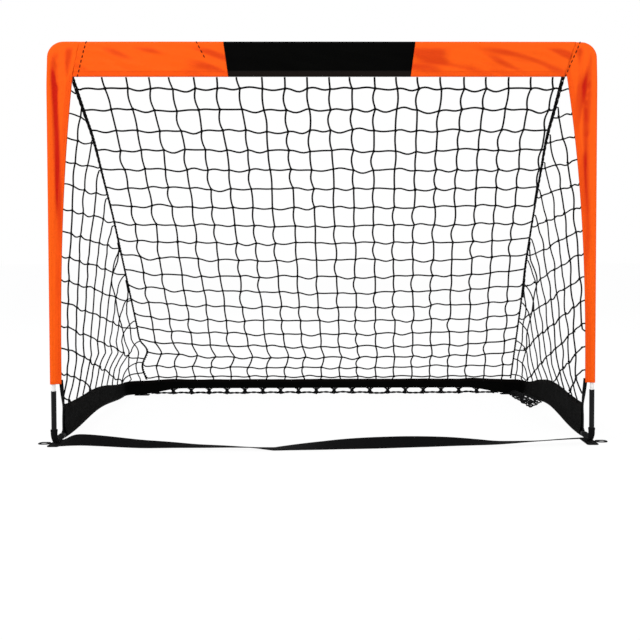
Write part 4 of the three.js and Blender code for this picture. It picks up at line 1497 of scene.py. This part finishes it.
# %% Plates of webbing
def rounded_plate(name, centre, size, radius, low, thickness, hole=None):
    """A flat plate on the ground, with rounded corners, eased edges and an optional slot."""
    def rectangle(half_x, half_y, r, steps=6):
        corners = ((1, 1, 0), (-1, 1, 1), (-1, -1, 2), (1, -1, 3))
        return [(sx * (half_x - r) + r * math.cos(math.pi / 2 * (q + k / steps)),
                 sy * (half_y - r) + r * math.sin(math.pi / 2 * (q + k / steps)))
                for sx, sy, q in corners for k in range(steps + 1)]

    ease = min(0.35 * MM, thickness / 3)
    levels = [(ease, 0), (0, ease), (0, thickness - ease), (ease, thickness)]
    outer = [[(centre[0] + x, centre[1] + y, low + z) for x, y in
              rectangle(size[0] / 2 - inset, size[1] / 2 - inset, radius - inset)] for inset, z in levels]
    if hole:
        hx, hy, shift_x, shift_y = hole
        inner = [[(centre[0] + shift_x + x, centre[1] + shift_y + y, low + z) for x, y in
                  rectangle(hx / 2 + inset, hy / 2 + inset, min(hx, hy) / 2 - 0.1 * MM + inset)]
                 for inset, z in reversed(levels)]
        piece = loft(name, outer + inner + outer[:1], webbing, closed=True)
    else:
        piece = loft(name, outer, webbing, closed=True, caps=True)
    mesh = piece.data
    for loop in mesh.loops:
        place = mesh.vertices[loop.vertex_index].co
        mesh.uv_layers[0].data[loop.index].uv = (place.x, place.y)
    mesh.shade_flat()
    return welded(piece, 1e-7)


# %% Foot pockets
POCKET_WALL, POCKET_TOP, POCKET_BACK, POCKET_SIDES = 2 * MM, 36 * MM, 46 * MM, 36
for side, sign in SIDES.items():
    line = foot_lines[side]
    low, high = (Vector(c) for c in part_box(f"foot_pocket_{side}"))
    start = SOCKET_TOP - POCKET_TOP
    end = line.length - (FOOT_END - (FRONT + POCKET_BACK))
    inner, outer = STEEL_R + 0.35 * MM, STEEL_R + 0.8 * MM + 0.5 * POCKET_WALL
    count = round((end - start) / (1.5 * MM))
    along = [mix(start, end, k / count) for k in range(count + 1)]

    def pocket_ring(s, radius, wavy):
        share = (s - start) / (end - start)
        bound = 0.5 * MM * (1 - smooth(s - start, 4 * MM, 5 * MM))
        radii = []
        for k in range(POCKET_SIDES):
            a = 2 * math.pi * k / POCKET_SIDES
            fold = noise.noise(Vector((math.cos(a) * 1.6, math.sin(a) * 1.6, share * 5 + sign * 3)))
            radii.append(radius + wavy * (0.7 * MM * fold + bound))
        return ring_points(line.at(s), line.tangent(s, 0.8 * MM), radii)

    rows = [pocket_ring(s, outer - 0.4 * MM, 1) for s in along]
    rows += [pocket_ring(s, inner, 0) for s in reversed(along)]
    wrap = welded(loft(f"foot_wrap_{side}", rows + rows[:1], webbing, closed=True))
    sole_y = middle(f"foot_pocket_{side}").y
    sole = rounded_plate(f"foot_sole_{side}", (sign * HALF, sole_y), (high.x - low.x, high.y - low.y),
                         5 * MM, 0.0, 2.2 * MM)
    pocket = joined(f"foot_webbing_{side}", [wrap, sole])
    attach(pocket, "base")
    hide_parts(f"foot_pocket_{side}")
for side in SIDES:
    low, high = (Vector(c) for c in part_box(f"rear_tab_{side}"))
    low.y = max(low.y, REAR - STRIP_R)
    centre = (low + high) / 2
    tab = rounded_plate(f"rear_webbing_{side}", (centre.x, centre.y),
                        (high.x - low.x, high.y - low.y), 3 * MM, 0.0, high.z)
    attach(tab, "base")
    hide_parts(f"rear_tab_{side}")

# %% [markdown]
# Four webbing loops take the ground pegs. Each is a flat plate with one long slot, and turns
# about its sewn edge. They are the same shape, so one function makes all four.

# %% Peg loops
LOOP_SLOT = (15 * MM, 9 * MM)
for place in ("front_left", "front_right", "rear_left", "rear_right"):
    node = f"stake_loop_{place}"
    low, high = (Vector(c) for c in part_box(node))
    centre, size = (low + high) / 2, high - low
    long_x = size.x > size.y
    outward = Vector((-1 if "left" in place else 1, 0)) if long_x else Vector((0, 1))
    width = min(size.x, size.y)
    slot_shift = outward * (max(size.x, size.y) / 2 - width / 2 - (LOOP_SLOT[0] - LOOP_SLOT[1]) / 2)
    hole = (*(LOOP_SLOT if long_x else LOOP_SLOT[::-1]), slot_shift.x, slot_shift.y)
    loop = rounded_plate(f"peg_loop_{place}", (centre.x, centre.y), (size.x, size.y),
                         width / 2 - 1 * MM, low.z, size.z, hole=hole)
    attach(loop, f"loop_{place}")
    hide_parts(node)
print("webbing pieces done")

# %% [markdown]
# Stitches make the cloth look sewn. A second tree places one small thread loop at even steps
# along a line, turned to follow it. The lines are laid on the finished cloth by ray casts, so
# the stitches sit on its wrinkles. Slanted rows of long stitches cross the crossbar's cloth, and
# rows of short ones hold the hems.


# %% Stitch tree
def stitch_tree(name, material):
    tree = node_tree(name, "GeometryNodeTree",
                     [("Lines", GEOMETRY), ("Pitch", FLOAT), ("Length", FLOAT), ("Thread", FLOAT)],
                     [("Stitches", GEOMETRY)])
    link, new = tree.links.new, tree.nodes.new
    gin, gout = new("NodeGroupInput"), new("NodeGroupOutput")
    curves, points = new("GeometryNodeMeshToCurve"), new("GeometryNodeCurveToPoints")
    points.mode = "LENGTH"
    link(gin.outputs["Lines"], curves.inputs["Mesh"])
    link(curves.outputs[0], points.inputs["Curve"])
    link(gin.outputs["Pitch"], points.inputs["Length"])
    bead = new("GeometryNodeMeshUVSphere")
    bead.inputs["Segments"].default_value = 8
    bead.inputs["Rings"].default_value = 6
    bead.inputs["Radius"].default_value = 0.5
    size = new("ShaderNodeCombineXYZ")
    for axis, source in (("X", "Thread"), ("Y", "Thread"), ("Z", "Length")):
        link(gin.outputs[source], size.inputs[axis])
    placed = new("GeometryNodeInstanceOnPoints")
    link(points.outputs["Points"], placed.inputs["Points"])
    link(bead.outputs["Mesh"], placed.inputs["Instance"])
    link(points.outputs["Rotation"], placed.inputs["Rotation"])
    link(size.outputs[0], placed.inputs["Scale"])
    real, dressed = new("GeometryNodeRealizeInstances"), new("GeometryNodeSetMaterial")
    dressed.inputs["Material"].default_value = material
    link(placed.outputs[0], real.inputs[0])
    link(real.outputs[0], dressed.inputs["Geometry"])
    link(dressed.outputs[0], gout.inputs[0])
    return tree


brown_stitches = stitch_tree("brown_stitches", stitch_thread)
black_stitches = stitch_tree("black_stitches", black_thread)
cloth_names = [node.replace("sleeve", "cloth") for node in sleeves]
cloth_surface = surface_of(*cloth_names)
THREAD_LIFT = 0.25 * MM


def on_cloth(points, face=-1):
    """Lays a line of (x, z) points on the front (or back) of the sleeves."""
    laid = []
    for x, z in points:
        hit = cloth_surface.ray_cast(Vector((x, FRONT + face * 0.2, z)), BACK * -face)[0]
        if hit:
            laid.append(hit + BACK * face * THREAD_LIFT)
    return laid


def straight(a, b, step=3 * MM):
    count = max(2, round((Vector(a) - Vector(b)).length / step))
    return [tuple(Vector(a).lerp(Vector(b), k / count)) for k in range(count + 1)]


# %% Stitches on the sleeves
BAR_TOP = BAR_Z + SLEEVE_RADIUS - 3 * MM
DASH_LINES = [
    ((-0.518, BAR_TOP), (-0.540, SLEEVE_EDGE - 4 * MM)),
    ((0.566, BAR_TOP), (0.534, SLEEVE_EDGE - 4 * MM)),
    ((-0.276, BAR_TOP), (-0.2605, SLEEVE_EDGE + 43 * MM))]
dashes = grow("corner_stitches", brown_stitches,
              [on_cloth(straight(a, b)) for a, b in DASH_LINES],
              Pitch=10.5 * MM, Length=7.5 * MM, Thread=2.3 * MM)
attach(dashes, "front_frame")

hem_z = SLEEVE_EDGE + HEM_WIDTH - 1.5 * MM
bar_hem = [(x, hem_z) for x in np.arange(-0.545, 0.53, 3 * MM)]
hem_lines, panel_lines = [], []
for face in (-1, 1):
    hem_lines.append(on_cloth([p for p in bar_hem if p[0] < -0.215], face))
    hem_lines.append(on_cloth([p for p in bar_hem if p[0] > 0.20], face))
    panel_lines.append(on_cloth([p for p in bar_hem if -0.206 < p[0] < 0.192], face))
    for side, sign in SIDES.items():
        inset = 4 * MM
        edge = [(sign * (HALF - cloth_width(side, z) + inset), z)
                for z in np.arange(SLEEVE_HEM + 3 * MM, SLEEVE_EDGE, 3 * MM)]
        hem_lines.append(on_cloth(edge, face))
        foot_hem = straight((sign * (HALF + 5 * MM), SLEEVE_HEM + 5 * MM),
                            (sign * (HALF - POST_CLOTH[side][1] + 2 * MM), SLEEVE_HEM + 5 * MM), 2 * MM)
        hem_lines.append(on_cloth(foot_hem, face))
orange_thread = string_finish("orange_thread", (0.72, 0.075, 0.006), 0.002, 0.0001)
orange_stitches = stitch_tree("orange_stitches", orange_thread)
hem_stitch = {"Pitch": 3.6 * MM, "Length": 2.6 * MM, "Thread": 0.6 * MM}
hem_rows = grow("hem_stitches", orange_stitches, hem_lines, **hem_stitch)
panel_rows = grow("panel_stitches", black_stitches, panel_lines, **hem_stitch)
for piece, slot_name in ((hem_rows, "orange_cloth"), (panel_rows, "black_cloth")):
    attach(piece, "front_frame")
print("stitches:", [len(p.data.polygons) for p in (dashes, hem_rows, panel_rows)])

# %% Stitches on the webbing
flat_surface = surface_of(*[f"foot_webbing_{s}" for s in SIDES],
                          *[f"rear_webbing_{s}" for s in SIDES])


def on_plate(points):
    laid = [flat_surface.ray_cast(Vector((x, y, 3.5 * MM)), -UP)[0] for x, y in points]
    return [hit + UP * THREAD_LIFT for hit in laid if hit and hit.z > 1.5 * MM]


plate_lines = []
for side, sign in SIDES.items():
    for node, inset in ((f"foot_pocket_{side}", 3 * MM), (f"rear_tab_{side}", 4 * MM)):
        low, high = (Vector(c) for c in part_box(node))
        ends = [(low.x + inset, low.y + inset), (high.x - inset, low.y + inset),
                (high.x - inset, high.y - inset), (low.x + inset, high.y - inset)]
        plate_lines += [on_plate(straight(a, b, 2 * MM)) for a, b in zip(ends, ends[1:] + ends[:1])]
        if "tab" in node:
            plate_lines += [on_plate(straight(ends[k], ends[k + 2], 2 * MM)) for k in (0, 1)]
plate_rows = grow("plate_stitches", black_stitches, [line for line in plate_lines if len(line) > 2],
                  Pitch=3.4 * MM, Length=2.4 * MM, Thread=0.7 * MM)
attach(plate_rows, "base")

# %% [markdown]
# The back net does not stop at the strip: its gathered strings hang on behind it, down to a
# cord that lies in shallow waves on the ground.

# %% Net below the rear strip
HANG_PITCH = 54 * MM
HANG_FOOT = 4.9 * MM
hang_y = REAR + STRIP_R * 0.2
HANG_HALF = 0.513
hang_x = np.arange(-HANG_HALF, HANG_HALF + 1 * MM, HANG_PITCH)


def rear_pole_height(x):
    share = (x + HALF - REAR_BEND) / (2 * (HALF - REAR_BEND))
    return GROUND_AXIS + REAR_LIFT * smooth(0.5 - abs(share - 0.5), 0, REAR_RISE)


hang_lines = []
for k, x in enumerate(hang_x):
    top = rear_pole_height(x) - STRIP_R + 1 * MM
    if top - HANG_FOOT > 4 * MM:
        for spread in (-1, -0.3, 0.3, 1):
            run = []
            for z in np.linspace(top, HANG_FOOT, 9):
                from_waist = 2 * (top - z) / (top - HANG_FOOT) - 1
                run.append(Vector((x + spread * (3 + 9 * from_waist ** 2) * MM, hang_y, z)))
            hang_lines.append(run)
hem_x = np.linspace(-HANG_HALF, HANG_HALF, 220)
hem_line = []
for x in hem_x:
    cell = (x + HANG_HALF) / HANG_PITCH
    wave = 2.2 * MM * abs(math.sin(math.pi * cell)) * (0.6 + cell_chance(math.floor(cell), 77))
    hem_line.append(Vector((x, hang_y, HANG_FOOT + wave)))
hang_lines += wound(hem_line, 2, 1.3 * MM, 34 * MM)
hang_knots = [Vector((x, hang_y, HANG_FOOT)) for x in hang_x[1:-1]]
hanging = grow("string_net_hem", net_tree, hang_lines, hang_knots,
               String_Radius=1.9 * MM, Knot_Radius=KNOT_RADIUS, Knot_Seed=7)
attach(hanging, "base")
print(f"{hanging.name}: {len(hang_lines)} strings")

# %% [markdown]
# The loose end of the net lies gathered on the ground at the right. Its strings run side by
# side from a wide end to a narrow one, and slow noise lets each wander and rise a little.

# %% Slack net at the right
SLACK_FROM, SLACK_TO = (HALF - 2 * MM, FRONT + 0.386), (HALF - 34 * MM, FRONT + 0.585)
SLACK_STRINGS, SLACK_STEPS = 14, 44
slack_lines, slack_knots = [], []
for n in range(SLACK_STRINGS):
    run = []
    for k in range(SLACK_STEPS + 1):
        t = k / SLACK_STEPS
        across = n / (SLACK_STRINGS - 1)
        wander = noise.noise(Vector((n * 3.7, t * 7, 1.0))) * 9 * MM
        lift = mix(mix(20, 3.5, across), mix(14, 4, across), t) * MM
        rise = noise.noise(Vector((n * 5.1, t * 8, 4.0))) * 6 * MM
        breadth = mix(33, 12, t) * MM * across
        run.append(Vector((mix(SLACK_FROM[0], SLACK_TO[0], t) - breadth + wander,
                           mix(SLACK_FROM[1], SLACK_TO[1], t), max(3 * MM, lift + rise))))
    slack_lines.append(run)
    slack_knots += run[6::9]
slack = grow("net_slack_right", net_tree, slack_lines, slack_knots,
             String_Radius=1.8 * MM, Knot_Radius=2.4 * MM, Knot_Seed=9)
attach(slack, "base")
print(f"{slack.name}: {len(slack_lines)} strings, {len(slack_knots)} knots")
